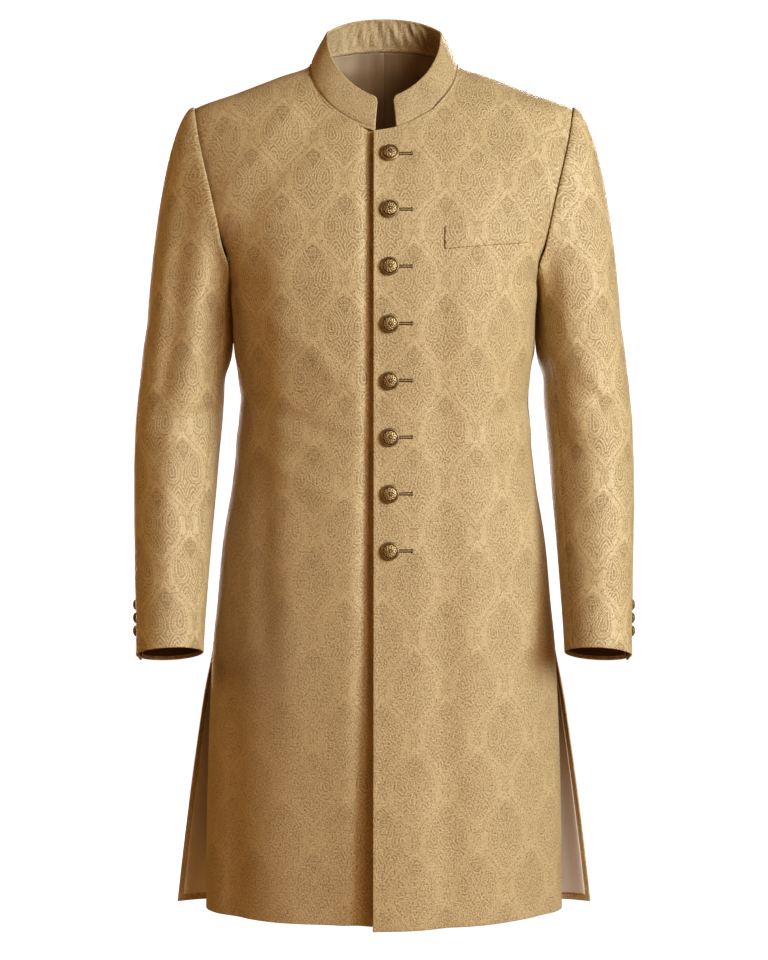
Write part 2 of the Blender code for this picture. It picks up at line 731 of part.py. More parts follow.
def front_point(x, level):
    """A point on the over front and the direction it faces."""
    point = np.array([x, float(body_depth("front", x, level)), level])
    normal = body_normal("front", *point)
    return point + normal * over_lift(point), normal


def turned(name, profile, radius, sides, place, axis, finish):
    """A solid of revolution standing on place along axis."""
    axis = axis / np.linalg.norm(axis)
    aside = np.cross(axis, (0, 0, 1))
    aside /= np.linalg.norm(aside)
    other = np.cross(axis, aside)
    shape = bmesh.new()
    rings = []
    for out, up in profile:
        if out == 0:
            rings.append([shape.verts.new(place + axis * up * radius)])
            continue
        ring = []
        for i in range(sides):
            turn = 2 * math.pi * i / sides
            spoke = aside * math.cos(turn) + other * math.sin(turn)
            ring.append(shape.verts.new(place + axis * up * radius + spoke * out * radius))
        rings.append(ring)
    shape.faces.new(rings[0][::-1])
    for low, high in zip(rings, rings[1:]):
        for i in range(sides):
            j = (i + 1) % sides
            if len(high) == 1:
                shape.faces.new((low[i], low[j], high[0]))
            else:
                shape.faces.new((low[i], low[j], high[j], high[i]))
    bmesh.ops.recalc_face_normals(shape, faces=shape.faces)
    mesh = bpy.data.meshes.new(name)
    shape.to_mesh(mesh)
    shape.free()
    mesh.shade_smooth()
    mesh.set_sharp_from_angle(angle=math.radians(40))
    mesh.materials.append(finish)
    thing = bpy.data.objects.new(name, mesh)
    bpy.context.scene.collection.objects.link(thing)


def make_front_buttons(brass):
    pitch = (LAST_BUTTON - FIRST_BUTTON) / (FRONT_BUTTONS - 1)
    for i in range(FRONT_BUTTONS):
        place, normal = front_point(BUTTON_LINE, FIRST_BUTTON + i * pitch)
        foot = place + normal * BUTTON_SHANK
        turned(f"button_{i + 1}", BUTTON_PROFILE, BUTTON_RADIUS, BUTTON_SIDES, foot, normal, brass)


def sleeve_surface(points, normals, column, height):
    """A point on the sleeve's column at a height above the cuff, and the direction it faces."""
    line = points[:, column]
    facing = normals[:, column]
    level = line[-1, 2] + height
    order = np.argsort(line[:, 2])
    place = np.array([np.interp(level, line[order, 2], line[order, i]) for i in range(3)])
    normal = np.array([np.interp(level, line[order, 2], facing[order, i]) for i in range(3)])
    return place, normal / np.linalg.norm(normal)


def make_cuff_buttons(side, points, normals, brass):
    column = BACK_SEAM_COLUMN + 1 + ARM_ROWS
    for i in range(CUFF_BUTTONS):
        height = CUFF_BUTTON_LOWEST + i * CUFF_BUTTON_PITCH
        place, normal = sleeve_surface(points, normals, column, height)
        place = place + normal * CUFF_BUTTON_SHANK
        if side == "right":
            place = mirrored(place)
            normal = mirrored(normal)
        turned(
            f"cuff_button_{side}_{i + 1}",
            CUFF_BUTTON_PROFILE,
            CUFF_BUTTON_RADIUS,
            CUFF_BUTTON_SIDES,
            place,
            normal,
            brass,
        )


def make_welt(brocade):
    """The breast pocket's welt, a flat strip lying on the wearer's left front."""
    points = np.empty((WELT_ROWS + 1, WELT_SPANS + 1, 3))
    normals = np.empty_like(points)
    for r, c in np.ndindex(points.shape[:2]):
        x = WELT_NEAR + (WELT_FAR - WELT_NEAR) * c / WELT_SPANS
        level = WELT_LOW + WELT_RISE * c / WELT_SPANS + WELT_HEIGHT * r / WELT_ROWS
        points[r, c], normals[r, c] = front_point(x, level)
    inner = points + normals * WELT_GAP
    wall("pocket_welt", inner + normals * WELT_WALL, inner, brocade)


def main():
    for thing in list(bpy.data.objects):
        bpy.data.objects.remove(thing, do_unlink=True)
    brocade = material("gold_brocade", (0.55, 0.36, 0.16), 0.55)
    satin = material("taupe_satin", (0.42, 0.32, 0.23), 0.35)
    brass = material("antique_brass", (0.42, 0.27, 0.09), 0.38, metallic=1.0)
    make_over_front(brocade)
    make_under_front(brocade)
    make_back(brocade)
    make_lining(satin)
    for side, creases in (("left", LEFT_CREASES), ("right", RIGHT_CREASES)):
        points, normals = make_sleeve(side, creases, brocade)
        make_cuff_buttons(side, points, normals, brass)
    make_collar(brocade)
    make_welt(brocade)
    make_front_buttons(brass)


main()
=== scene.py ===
"""How the sherwani coat looks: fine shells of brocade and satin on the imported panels, with their
seams and creases, embossed brass buttons, worked buttonholes, soft studio light and the camera.

Metres, +Z up, the front facing -Y and the wearer's left at +X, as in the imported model.
"""

import math

import bpy
import numpy as np
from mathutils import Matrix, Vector


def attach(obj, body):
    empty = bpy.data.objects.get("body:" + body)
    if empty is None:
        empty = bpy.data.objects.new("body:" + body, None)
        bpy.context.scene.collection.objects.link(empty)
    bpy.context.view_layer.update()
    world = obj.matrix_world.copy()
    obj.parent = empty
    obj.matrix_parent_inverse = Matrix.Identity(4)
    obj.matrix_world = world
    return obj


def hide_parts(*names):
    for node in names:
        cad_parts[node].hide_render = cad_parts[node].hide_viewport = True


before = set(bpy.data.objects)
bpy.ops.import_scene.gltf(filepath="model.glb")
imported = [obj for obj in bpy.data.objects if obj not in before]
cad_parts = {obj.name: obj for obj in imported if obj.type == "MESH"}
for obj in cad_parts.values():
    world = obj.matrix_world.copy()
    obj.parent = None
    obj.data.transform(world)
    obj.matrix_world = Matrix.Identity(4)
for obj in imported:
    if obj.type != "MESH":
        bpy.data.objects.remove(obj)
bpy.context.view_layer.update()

SLOTS = {"cloth": "gold_brocade", "satin": "taupe_satin"}

# Directions in a point: its mirror image on the wearer's other side, its level part and up
MIRROR = np.array([-1, 1, 1])
LEVEL = np.array([1, 1, 0])
UP = np.array([0, 0, 1])

# Below this a length counts as nothing
TINY = 1e-12

# A grid's edges: the axis that runs in from each and the way along it
EDGES = {"hem": (0, 1), "top": (0, -1), "middle": (1, 1), "side": (1, -1)}

# Walls and gaps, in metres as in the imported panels
CLOTH_WALL = 0.0018
LINING_WALL = 0.001
COLLAR_WALL = 0.0028
SEAM_GAP = 0.0003
OVERLAP_GAP = 0.0007

# Heights, how much lower the over front's hem hangs and how high up that reaches
SHOULDER_TIP = -0.0513
UNDERARM = -0.262
HEM = -1.0093
OVER_HEM_DROP = 0.0022
HEM_DROP_REACH = 0.09

# Neck seam: half its width, its drop and rise, and each face's rise with the powers of its curve
NECK_HALF_WIDTH = 0.0894
NECK_FRONT_DROP = 0.0833
NECK_BACK_RISE = 0.0235
NECK_CURVES = {"front": (-NECK_FRONT_DROP, 1.5, 0.47), "back": (NECK_BACK_RISE, 2.2, 0.6)}

# Front closure: the drop of the left front's corner, the places across between which its lap's lift
# goes, and the swing of the lap below the last button
FRONT_CORNER_DROP = 0.0015
OVER_LIFT_FULL = 0.036
OVER_LIFT_GONE = 0.075
LAST_BUTTON = -0.5732
SKIRT_SWING = 0.0125
SKIRT_SWING_REACH = 0.19

# Buttons: the first one's height, their line, size, standing off the cloth and turn from one to the
# next, and for the cuffs also how far they are apart and from the cuff and its back seam
FRONT_BUTTONS = 8
FIRST_BUTTON = -0.113
BUTTON_LINE = 0.0069
BUTTON_RADIUS = 0.0108
BUTTON_OFF = 0.0002
BUTTON_TURN = 0.35
BUTTON_SIDES = {"front": 120, "cuff": 72}
CUFF_BUTTONS = 3
CUFF_BUTTON_RADIUS = 0.0065
CUFF_BUTTON_PITCH = 0.0149
CUFF_BUTTON_LOWEST = 0.03
CUFF_BUTTON_SHANK = 0.0006
CUFF_BUTTON_COLUMNS = 6

# Chest welt, on the wearer's left: its ends, its lower line, its wall, and its rows and columns
WELT_NEAR = 0.0705
WELT_FAR = 0.169
WELT_LOW = -0.224
WELT_HEIGHT = 0.0255
WELT_RISE = 0.0085
WELT_WALL = 0.0012
WELT_OFF = 0.0004
WELT_GRID = (17, 61)

# Collar: its two front ends, how it rises and leans, its bow, its gap to the neck and its corners
COLLAR_LEFT_END = 0.0103
COLLAR_RIGHT_END = 0.0144
COLLAR_RISE = 0.0388
COLLAR_BACK_LOSS = 0.0016
COLLAR_SIDE_LEAN = 0.0204
COLLAR_FRONT_LEAN = 0.0125
COLLAR_FRONT_DEPTH = 0.074
COLLAR_BOW = 0.0012
COLLAR_CLEARANCE = 0.0008
COLLAR_CORNER = 0.0064
COLLAR_CORNER_POWER = 1.5

# How finely the shells are divided: columns and rows, the closer steps beside a seam, cuff or hem,
# the samples along a section and a quarter of it, and the rounded rims' rows, in degrees
NECK_COLUMNS = 28
SHOULDER_COLUMNS = 36
PANEL_COLUMNS = NECK_COLUMNS + SHOULDER_COLUMNS
ARM_ROWS = 60
END_COLUMNS = 10
ROW_HEIGHT = 0.0046
SEAM_STEPS = (0.15, 0.33, 0.55, 0.78)
SLEEVE_SEAM_STEPS = (0.08, 0.2, 0.38, 0.62)
HEM_STEPS = (0.2, 0.45, 0.7)
WAY_SAMPLES = 40
QUARTER_SAMPLES = 161
RIM_TURNS = (45, 90, 135)

# Seams: how far the cloth turns in beside one, how wide that is, half of what parts two pieces, how
# far a body panel runs on under the sleeve and between which heights that starts, the grid's edge at
# a seam, and how far in at least, and at how many times its gap, an edge's tuck reaches
SEAM_SINK = 0.0005
SEAM_REACH = 0.0022
SEAM_JOIN = 0.00005
ARMHOLE_UNDER = 0.0016
ARMHOLE_BLEND = (UNDERARM - 0.001, UNDERARM + 0.004)
SEAM_EDGE = SEAM_JOIN + CLOTH_WALL / 2
TUCK_LEAST = 0.0005
TUCK_SPREAD = 3

# Border of plain cloth that the lining leaves at each of its edges
LINING_BORDERS = {
    "side": 0.0065, "hem": 0.0095, "top": 0.0015, "middle": SEAM_JOIN + LINING_WALL / 2,
}

# Level sections of the body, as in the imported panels
BODY_COLUMNS = (
    "level", "front_half", "back_half", "front", "back", "back_side", "fullness", "spread",
)
BODY = (
    (0.03, 0.062, 0.062, 0.01, 0.046, 0.0, 2.3, 0.0),
    (0.0235, 0.0735, 0.0735, 0.013, 0.052, 0.0, 2.3, 0.0),
    (0.012, 0.0855, 0.0855, 0.017, 0.06, 0.0, 2.3, 0.0),
    (0.0, 0.0894, 0.0894, 0.022, 0.066, 0.0, 2.3, 0.0),
    (-0.0144, 0.127, 0.127, 0.035, 0.0735, 0.0, 2.3, 0.0),
    (-0.0336, 0.177, 0.177, 0.048, 0.081, 0.0, 2.3, 0.0),
    (-0.0513, 0.225, 0.225, 0.059, 0.087, 0.0, 2.3, 0.0),
    (-0.06, 0.237, 0.237, 0.063, 0.089, 0.0, 2.3, 0.0),
    (-0.0833, 0.244, 0.244, 0.074, 0.095, 0.0, 2.3, 0.0),
    (-0.12, 0.245, 0.245, 0.093, 0.103, 0.0, 2.3, 0.0),
    (-0.16, 0.239, 0.239, 0.108, 0.109, 0.0, 2.32, 0.0),
    (-0.2, 0.223, 0.223, 0.118, 0.112, 0.0, 2.38, 0.0),
    (-0.24, 0.197, 0.197, 0.1225, 0.112, 0.0, 2.6, 0.0),
    (-0.262, 0.1815, 0.1815, 0.1238, 0.111, 0.0, 2.9, 0.0),
    (-0.3, 0.179, 0.179, 0.1235, 0.108, 0.0, 2.75, 0.0),
    (-0.341, 0.178, 0.178, 0.121, 0.103, 0.0, 2.55, 0.0),
    (-0.374, 0.1748, 0.1748, 0.1185, 0.099, 0.0, 2.4, 0.0),
    (-0.408, 0.1734, 0.1734, 0.1165, 0.098, 0.0, 2.3, 0.0),
    (-0.442, 0.175, 0.175, 0.1155, 0.1, 0.0, 2.25, 0.0),
    (-0.475, 0.1788, 0.1788, 0.115, 0.103, 0.0, 2.15, 0.0),
    (-0.509, 0.183, 0.183, 0.116, 0.108, 0.0, 2.15, 0.0),
    (-0.542, 0.1888, 0.1888, 0.1175, 0.114, 0.0, 2.15, 0.0),
    (-0.576, 0.1938, 0.1938, 0.1185, 0.119, 0.0, 2.15, 0.0),
    (-0.643, 0.1998, 0.1998, 0.1195, 0.125, 0.0, 2.1, 0.0),
    (-0.694, 0.205, 0.205, 0.1195, 0.129, 0.0, 2.05, 0.0),
    (-0.752, 0.208, 0.2165, 0.119, 0.134, 0.007, 2.0, 0.3),
    (-0.82, 0.2105, 0.227, 0.118, 0.139, 0.014, 1.95, 0.6),
    (-0.927, 0.213, 0.2412, 0.1155, 0.147, 0.026, 1.9, 0.9),
    (-1.0093, 0.2135, 0.2508, 0.113, 0.154, 0.035, 1.85, 1.0),
)
BACK_SPREAD_POWER = 1.25

ARMHOLE_COLUMNS = ("level", "front", "back")
ARMHOLE = (
    (-0.0513, 0.2256, 0.2256),
    (-0.062, 0.2235, 0.2232),
    (-0.088, 0.219, 0.2165),
    (-0.124, 0.2106, 0.208),
    (-0.162, 0.2012, 0.202),
    (-0.2, 0.193, 0.196),
    (-0.221, 0.1885, 0.1915),
    (-0.242, 0.182, 0.186),
    (-0.262, 0.1815, 0.1815),
)

SLEEVE_COLUMNS = ("level", "across", "deep", "half_width", "half_depth", "tilt")
SLEEVE = (
    (-0.312, 0.2331, 0.007, 0.0517, 0.07, 1.0),
    (-0.341, 0.2359, 0.007, 0.0533, 0.069, 2.0),
    (-0.376, 0.2413, 0.006, 0.0515, 0.067, 3.0),
    (-0.406, 0.244, 0.003, 0.052, 0.0645, 5.0),
    (-0.424, 0.2455, 0.0005, 0.052, 0.063, 7.0),
    (-0.442, 0.2465, -0.003, 0.0515, 0.062, 9.0),
    (-0.472, 0.248, -0.01, 0.0505, 0.0605, 11.0),
    (-0.512, 0.249, -0.02, 0.0488, 0.0585, 13.0),
    (-0.555, 0.25, -0.032, 0.0464, 0.056, 14.0),
    (-0.595, 0.2505, -0.043, 0.0442, 0.0535, 15.0),
    (-0.63, 0.2508, -0.053, 0.0424, 0.0515, 15.0),
    (-0.664, 0.251, -0.0625, 0.0407, 0.0498, 15.0),
    (-0.6975, 0.2512, -0.0722, 0.0395, 0.049, 15.0),
)
CUFF_ROLL = 0.0025
CUFF_ROLL_START = -0.55
# The sleeve's head: how it leaves the armhole at the top and the rest of the way, and how far it is
# drawn out from the seam and down from it before it hangs
CAP_OUT = (0.4, 0.6)
CAP_FORWARD = 0.35
CAP_RISE = (0.3, 0.55)
CAP_PULL = (0.019, 0.004)
CAP_TUCK = 0.0105
CAP_FALL = (0.148, 0.012)
CAP_ROWS = 34
CAP_CROWDING = 1.6
FRONT_SEAM_COLUMN = 48
BACK_SEAM_COLUMN = -18
BACK_SEAM_TWIST = math.radians(28)

# Soft vertical folds of the skirt: where round the panel, how wide, and how deep at the hem
OVER_FRONT_FOLDS = ((0.3, 0.09, -0.002), (0.52, 0.1, 0.0025), (0.8, 0.07, -0.003))
UNDER_FRONT_FOLDS = ((0.34, 0.09, -0.0025), (0.55, 0.1, 0.002), (0.76, 0.07, -0.0045))
BACK_FOLDS = ((0.2, 0.08, 0.004), (0.42, 0.08, -0.005), (0.64, 0.07, 0.004), (0.84, 0.06, -0.004))
FOLD_START = -0.56

# Soft creases of the body panels: a line between two places seen from the front or the back, its
# bow sideways, how wide the crease is and how far it moves the cloth out
CREASE_FADE = 0.35
LEFT_FRONT_CREASES = (
    (-0.0123, -0.09, -0.0123, -1.0, 0.0, 0.005, 0.0012),
    (0.095, -0.34, 0.1, -0.78, 0.003, 0.016, 0.0022),
    (0.062, -0.4, 0.07, -0.86, -0.003, 0.015, -0.0016),
    (0.181, -0.262, 0.179, -0.32, 0.0, 0.01, 0.0022),
    (0.105, -0.1, 0.19, -0.245, 0.004, 0.016, -0.0022),
    (0.06, -0.36, 0.178, -0.275, 0.006, 0.014, 0.0014),
    (0.07, -0.45, 0.168, -0.405, 0.003, 0.012, -0.0016),
    (0.09, -0.49, 0.17, -0.44, 0.003, 0.013, 0.0014),
    (0.115, -0.28, 0.11, -0.6, 0.004, 0.018, 0.0016),
    (0.148, -0.3, 0.14, -0.58, -0.004, 0.014, -0.0014),
)
RIGHT_FRONT_CREASES = (
    (-0.181, -0.262, -0.179, -0.32, 0.0, 0.01, 0.0022),
    (-0.0172, -0.1, -0.0172, -0.56, 0.0, 0.0072, -0.0058),
    (-0.02, -0.6, -0.03, -1.0, 0.0, 0.011, -0.004),
    (-0.1, -0.1, -0.192, -0.24, -0.004, 0.016, -0.0026),
    (-0.135, -0.09, -0.205, -0.19, -0.003, 0.012, 0.0016),
    (-0.055, -0.37, -0.176, -0.28, -0.006, 0.014, 0.0016),
    (-0.065, -0.44, -0.166, -0.4, -0.003, 0.012, -0.0018),
    (-0.085, -0.5, -0.172, -0.45, -0.003, 0.013, 0.0016),
    (-0.118, -0.28, -0.112, -0.62, -0.004, 0.018, 0.0018),
    (-0.15, -0.3, -0.142, -0.6, 0.004, 0.014, -0.0018),
)
BACK_CREASES = (
    (0.181, -0.262, 0.179, -0.32, 0.0, 0.01, 0.0022),
    (-0.181, -0.262, -0.179, -0.32, 0.0, 0.01, 0.0022),
    (-0.02, -0.02, 0.03, -0.16, 0.004, 0.02, 0.001),
    (0.07, -0.08, 0.185, -0.235, 0.006, 0.017, -0.0024),
    (-0.075, -0.08, -0.186, -0.24, -0.006, 0.017, -0.0022),
    (-0.15, -0.4, 0.02, -0.425, 0.006, 0.014, -0.002),
    (-0.02, -0.45, 0.15, -0.43, -0.005, 0.014, 0.0018),
    (0.06, -0.29, 0.172, -0.34, 0.004, 0.015, 0.0016),
    (-0.055, -0.3, -0.17, -0.355, 0.004, 0.015, -0.0018),
)

# For each front: how far it reaches past the middle, where its collar ends, how far its top corner
# is set back, its folds and its creases
FRONTS = {
    "left": (0.0123, COLLAR_RIGHT_END, 0.005, OVER_FRONT_FOLDS, LEFT_FRONT_CREASES),
    "right": (0.033, COLLAR_LEFT_END, 0.0, UNDER_FRONT_FOLDS, RIGHT_FRONT_CREASES),
}

# How far the inner side keeps a facing of its own cloth
FRONT_FACING = 0.062
HEM_FACING = 0.03
CUFF_FACING = 0.006

# Soft ripples of each half of the lining, in the columns of the panels' creases
LINING_RIPPLES = {
    "left": (
        (0.012, 0.02, 0.02, -0.1, 0.003, 0.006, 0.0012),
        (0.03, 0.018, 0.042, -0.16, 0.004, 0.008, 0.0016),
        (0.055, 0.0, 0.062, -0.12, -0.003, 0.007, 0.0013),
        (0.1, -0.72, 0.11, -1.0, 0.004, 0.012, 0.0016),
        (0.18, -0.7, 0.2, -0.99, 0.006, 0.012, 0.0018),
    ),
    "right": (
        (0.006, 0.022, 0.01, -0.14, 0.002, 0.004, 0.0018),
        (0.022, 0.02, 0.032, -0.12, -0.003, 0.006, 0.0014),
        (0.046, 0.012, 0.06, -0.15, 0.004, 0.008, 0.0015),
        (0.11, -0.73, 0.115, -1.0, -0.004, 0.013, 0.0016),
        (0.185, -0.7, 0.205, -0.99, 0.006, 0.012, 0.0018),
    ),
}

# Creases of the sleeves, in metres and degrees: height, way round the sleeve from its outer side by
# the front, rise for each degree round, how tall, how wide round and how deep
SLEEVE_CREASES = {
    "left": (
        (-0.416, 64.0, 0.00067, 0.014, 35.0, -0.005),
        (-0.442, 100.0, 0.00044, 0.016, 40.0, 0.0025),
        (-0.39, 215.0, -0.00056, 0.018, 40.0, -0.003),
        (-0.3, 112.0, 0.004, 0.042, 40.0, 0.0015),
        (-0.33, 160.0, 0.004, 0.08, 40.0, -0.005),
        (-0.4, 74.0, 0.002, 0.01, 16.0, 0.0016),
        (-0.23, 60.0, 0.0001, 0.05, 9.0, 0.0016),
        (-0.25, 86.0, 0.0001, 0.06, 11.0, -0.0018),
        (-0.425, 60.0, 0.0006, 0.006, 40.0, -0.0016),
        (-0.433, 85.0, 0.00035, 0.005, 30.0, 0.0012),
        (-0.47, 120.0, 0.0006, 0.012, 36.0, -0.0016),
        (-0.51, 45.0, 0.0004, 0.014, 40.0, 0.0011),
        (-0.56, 95.0, 0.00035, 0.012, 40.0, -0.0013),
        (-0.61, 60.0, 0.0003, 0.012, 40.0, 0.0009),
        (-0.36, 40.0, 0.0006, 0.012, 34.0, 0.0012),
        (-0.365, 200.0, -0.0006, 0.012, 34.0, 0.0012),
        (-0.29, 180.0, 0.0, 0.035, 50.0, 0.003),
    ),
    "right": (
        (-0.427, 110.0, 0.00027, 0.014, 44.0, -0.005),
        (-0.456, 80.0, -0.00033, 0.016, 40.0, 0.0025),
        (-0.395, 220.0, -0.00044, 0.018, 40.0, -0.003),
        (-0.33, 72.0, 0.0001, 0.095, 13.0, -0.004),
        (-0.34, 103.0, 0.0001, 0.08, 12.0, 0.0038),
        (-0.33, 48.0, 0.0001, 0.095, 12.0, 0.002),
        (-0.34, 134.0, 0.0001, 0.08, 13.0, -0.0028),
        (-0.52, 84.0, 0.0001, 0.1, 14.0, 0.0024),
        (-0.52, 116.0, 0.0001, 0.1, 14.0, -0.0024),
        (-0.23, 58.0, 0.0001, 0.05, 9.0, 0.0016),
        (-0.25, 84.0, 0.0001, 0.06, 11.0, -0.0018),
        (-0.395, 64.0, 0.0006, 0.008, 30.0, -0.002),
        (-0.413, 60.0, 0.0005, 0.006, 30.0, 0.0014),
        (-0.45, 100.0, 0.00055, 0.01, 36.0, -0.0018),
        (-0.495, 70.0, -0.0003, 0.014, 40.0, 0.0011),
        (-0.55, 100.0, 0.00035, 0.012, 40.0, -0.0013),
        (-0.6, 50.0, 0.0003, 0.012, 40.0, 0.0009),
        (-0.365, 205.0, -0.0006, 0.012, 34.0, 0.0012),
        (-0.29, 180.0, 0.0, 0.035, 50.0, 0.003),
    ),
}

# The lap of each cuff's vent: how tall and how many columns wide it is, and how far it stands out
# and hangs down. Then the fullness of the sleeve's head beside the armhole.
CUFF_VENT = 0.06
CUFF_VENT_COLUMNS = 3.0
CUFF_VENT_LIFT = 0.0012
CUFF_VENT_DROP = 0.0022
CAP_PUFF = 0.0012
CAP_PUFF_REACH = 0.0035

# The collar's steps, its rows as shares of its height, its rolled top edge, the dip at its seam,
# and its thinner edge: each a size, the share where it lies and how wide it is
COLLAR_FRONT_STEPS = 40
COLLAR_BACK_STEPS = 44
COLLAR_STEPS = 300
COLLAR_SHARES = (-0.06, -0.03, 0, 0.02, 0.05, *np.linspace(0.1, 0.9, 14), 0.94, 0.97, 0.988, 1)
COLLAR_ROLL = (0.0004, 1.0, 0.11)
COLLAR_SEAM_DIP = (0.0017, 0.0, 0.05)
COLLAR_EDGE_THIN = (0.0004, 0.88, 0.05)

# Waves of the collar's inner band, only behind the neck: pitch round the neck in radians a metre,
# depth, lean and start
COLLAR_WAVES_BEHIND = 0.05
COLLAR_WAVES_POWER = 0.6
COLLAR_WAVES = (
    (150.0, 0.0007, 2.2, 0.0),
    (410.0, 0.0008, 2.6, 0.4),
    (690.0, 0.00042, -1.9, 1.3),
    (1130.0, 0.00022, 1.3, 2.1),
)

# How faintly the woven figure shows, from 0 to 1: on the collar, and on each side of the body above
# and below the levels between which it fades. The body's fade towards the hem is painted light: it
# stands in for the light that hides the figure there
COLLAR_PLAINNESS = 0.9
FIGURE_FADES = {"left": (0.34, 0.8), "right": (0.05, 0.74)}
FADE_TOP = -0.16
FADE_LENGTH = 0.62

# The buttons' rings, in shares of the radius: out and up for each of the shank and back; then for
# the rim how many, from which half turn, over how much of one, how high and how tall; and for the
# domed face how many, how wide, how high, how domed and the width at which the dome would end
DOMES = {
    "front": (
        ((0.28, 0.0), (0.28, 0.11), (0.55, 0.13), (0.9, 0.15)),
        (7, -0.42, 0.8, 0.24, 0.09),
        (34, 0.925, 0.31, 0.3, 0.96),
    ),
    "cuff": (
        ((0.3, 0.0), (0.3, 0.13), (0.88, 0.17)),
        (6, -0.4, 0.78, 0.3, 0.1),
        (18, 0.92, 0.4, 0.33, 0.97),
    ),
}

# The rim's middle line and half its width, and the power that fills the dome
RIM_OUT = (0.93, 0.07)
DOME_POWER = 0.8

# Raised work on the buttons' faces, in shares of the radius: how high, how far out and how wide each
# ring is, with its beads round the face; then the ring of scrolls or petals and the middle boss
BEADS = (0.036, 0.87, 0.045)
BEAD_COUNT = 24
GROOVE = (0.036, 0.77, 0.025)
MOAT = (0.03, 0.21, 0.035)
SCROLLS = 0.05
SCROLL_COUNT = 5
SCROLL_LEAN = 9
BOSS = (0.03, 0.13)
CUFF_BEADS = (0.03, 0.82, 0.05)
CUFF_BEAD_COUNT = 18
CUFF_MOAT = (0.03, 0.26, 0.05)
CUFF_PETALS = 0.06
CUFF_PETAL_COUNT = 3
CUFF_BOSS = (0.09, 0.2)

# How raised a button's plain rim counts for its colour, and the rise at which the brass is brightest
RIM_MARK = 0.034
BRASS_FULL = 0.045

# Buttonholes: where they start and end, how far from the slit their stitches lie, how many there
# are, the bar at their end and how much of each turn of it a stitch covers, the points of a line,
# the stitches' sway and how far the purled edge stands from the slit
HOLE_START = 0.0175
HOLE_END = 0.0322
HOLE_STITCH_SPAN = (0.000684, 0.0019)
HOLE_STITCHES = 26
HOLE_END_TURNS = 12
HOLE_END_WIDE = 0.001
HOLE_END_TALL = 0.0024
HOLE_END_COVER = 0.9
HOLE_POINTS = 14
STITCH_SWAY = 0.00012
STITCH_SWAY_TURN = 2.3
PURL_APART = 0.00028

# Threads: how thick and of how many sides, the direction that sets their sides, where on half a wave
# their thin ends lie, in radians, and how far out from the cloth their points lie
STITCH = (0.00032, 6)
PURL = (0.0003, 6)
SLIT_CORD = (0.00045, 6)
COLLAR_CORD = (0.0002, 5)
THREAD_ASIDE = (0, 1, 0.2)
THREAD_END = 0.25
STITCH_RISE = (0.0001, 0.00045, 0.0004, 0.0)
FLAT_RISE = 0.0003
SLIT_RISE = 0.00005

# The collar's stitches: their pitch, where in it a stitch ends and starts, how high up the collar
# they run, from how far back, how deep they are pulled in and how proud they stand
COLLAR_STITCH = 0.0026
COLLAR_STITCH_LONG = 0.72
COLLAR_STITCH_START = 0.0003
COLLAR_STITCH_SHARE = 0.9
COLLAR_STITCH_BEHIND = 0.012
COLLAR_STITCH_SUNK = 0.0003
COLLAR_STITCH_PROUD = 0.0002
COLLAR_STITCH_POINTS = 5

# Steps across the over front's surface, in metres, from which its slope and its direction are taken
SLOPE_STEP = 0.0004
NORMAL_STEP = 0.0008

# Where the woven figure falls on each panel, across and up, in metres
MAP_SHIFTS = {
    "front_left": (-0.0346, -0.0035),
    "front_right": (0.0088, -0.0047),
    "sleeve_left": (0.008, 0.004),
    "sleeve_right": (-0.0186, 0.0),
}

# Millimetres in a metre
MILLIMETRES = 1000.0

# The woven figure, in millimetres: half a repeat of the ogee cells across and down, the line that
# draws it, its sway, the curls along each cell's edge, and where each motif stands in its cell
CELL_HALF_WIDE = 37.0
CELL_HALF_TALL = 59.0
LINE_PITCH = 3.4
LINE_WIDE = 1.15
LINE_SWAY = 2.0
CURL_PITCH = 5.6
OVAL_HALF_WIDE = 25.5
PAISLEY_OUT = 15.0
PAISLEY_DOWN = 1.0
PALMETTE_UP = 30.0
FAN_OUT = 10.0
FAN_DOWN = 31.0
LOZENGE_DOWN = 37.0
VASE_OUT = 28.8
VASE_DOWN = 1.5

# How light each part of the figure is, from 0 to 1
OVAL_DARK = 0.1
HEART_DARK = 0.03
BAND_TONE = 0.42
OVAL_LINE_GAIN = 0.48
BAND_LINE_GAIN = 0.34
VASE_TONE = 0.6
MIDDLE_TONE = 0.46
EDGE_LINE_GAIN = 0.42
RIM_LINE_LOSS = 0.14

# The cloth over the figure: its grain in tone and relief, how far a full mark hides the figure and
# adds to the grain, how far a vase loses it, the breaks in the figure's threads, wear, the span of
# the grain's and the breaks' noise, and the silk's roughness, each as a gain and a start
GRAIN = 0.78
GRAIN_RELIEF = 1.2
FIGURE_RELIEF = 0.4
MARK_HIDES = 0.74
MARK_GRAIN = 0.35
VASE_GRAIN_LOSS = 0.5
VASE_EDGE = 0.02
BREAKS = (0.4, 0.74)
WEAR = 0.26
GRAIN_SPAN = (0.31, 0.69)
BREAK_SPAN = (0.3, 0.6)
SILK_ROUGH = (-0.05, 0.52)
SILK_SHEEN = {"Sheen_Weight": 0.1, "Sheen_Roughness": 0.45, "Sheen_Tint": (1.0, 0.84, 0.58, 1)}

# The materials' noises: how many a metre, detail, roughness, and the stretch of the place they read
NOISES = {
    "sway": (190.0, 1.0, 0.5, None),
    "swing": (210.0, 1.0, 0.5, (1.0, 0.8, 1.0)),
    "grain": (450.0, 2.6, 0.74, None),
    "worn": (22.0, 2.0, 0.5, None),
    "broken": (260.0, 1.0, 0.5, None),
    "warp": (900.0, 2.0, 0.5, (1.0, 0.05, 1.0)),
    "cloud": (18.0, 2.0, 0.5, None),
    "tarnish": (420.0, 3.0, 0.5, None),
    "tooth": (60.0, 3.0, 0.5, None),
    "ply": (2600.0, 2.0, 0.5, (1.0, 1.0, 2.4)),
}

# How deep each surface's finest relief is, in metres
RELIEFS = {"silk": 0.0005, "satin": 0.00008, "brass": 0.00008, "paper": 0.0002, "thread": 0.00006}

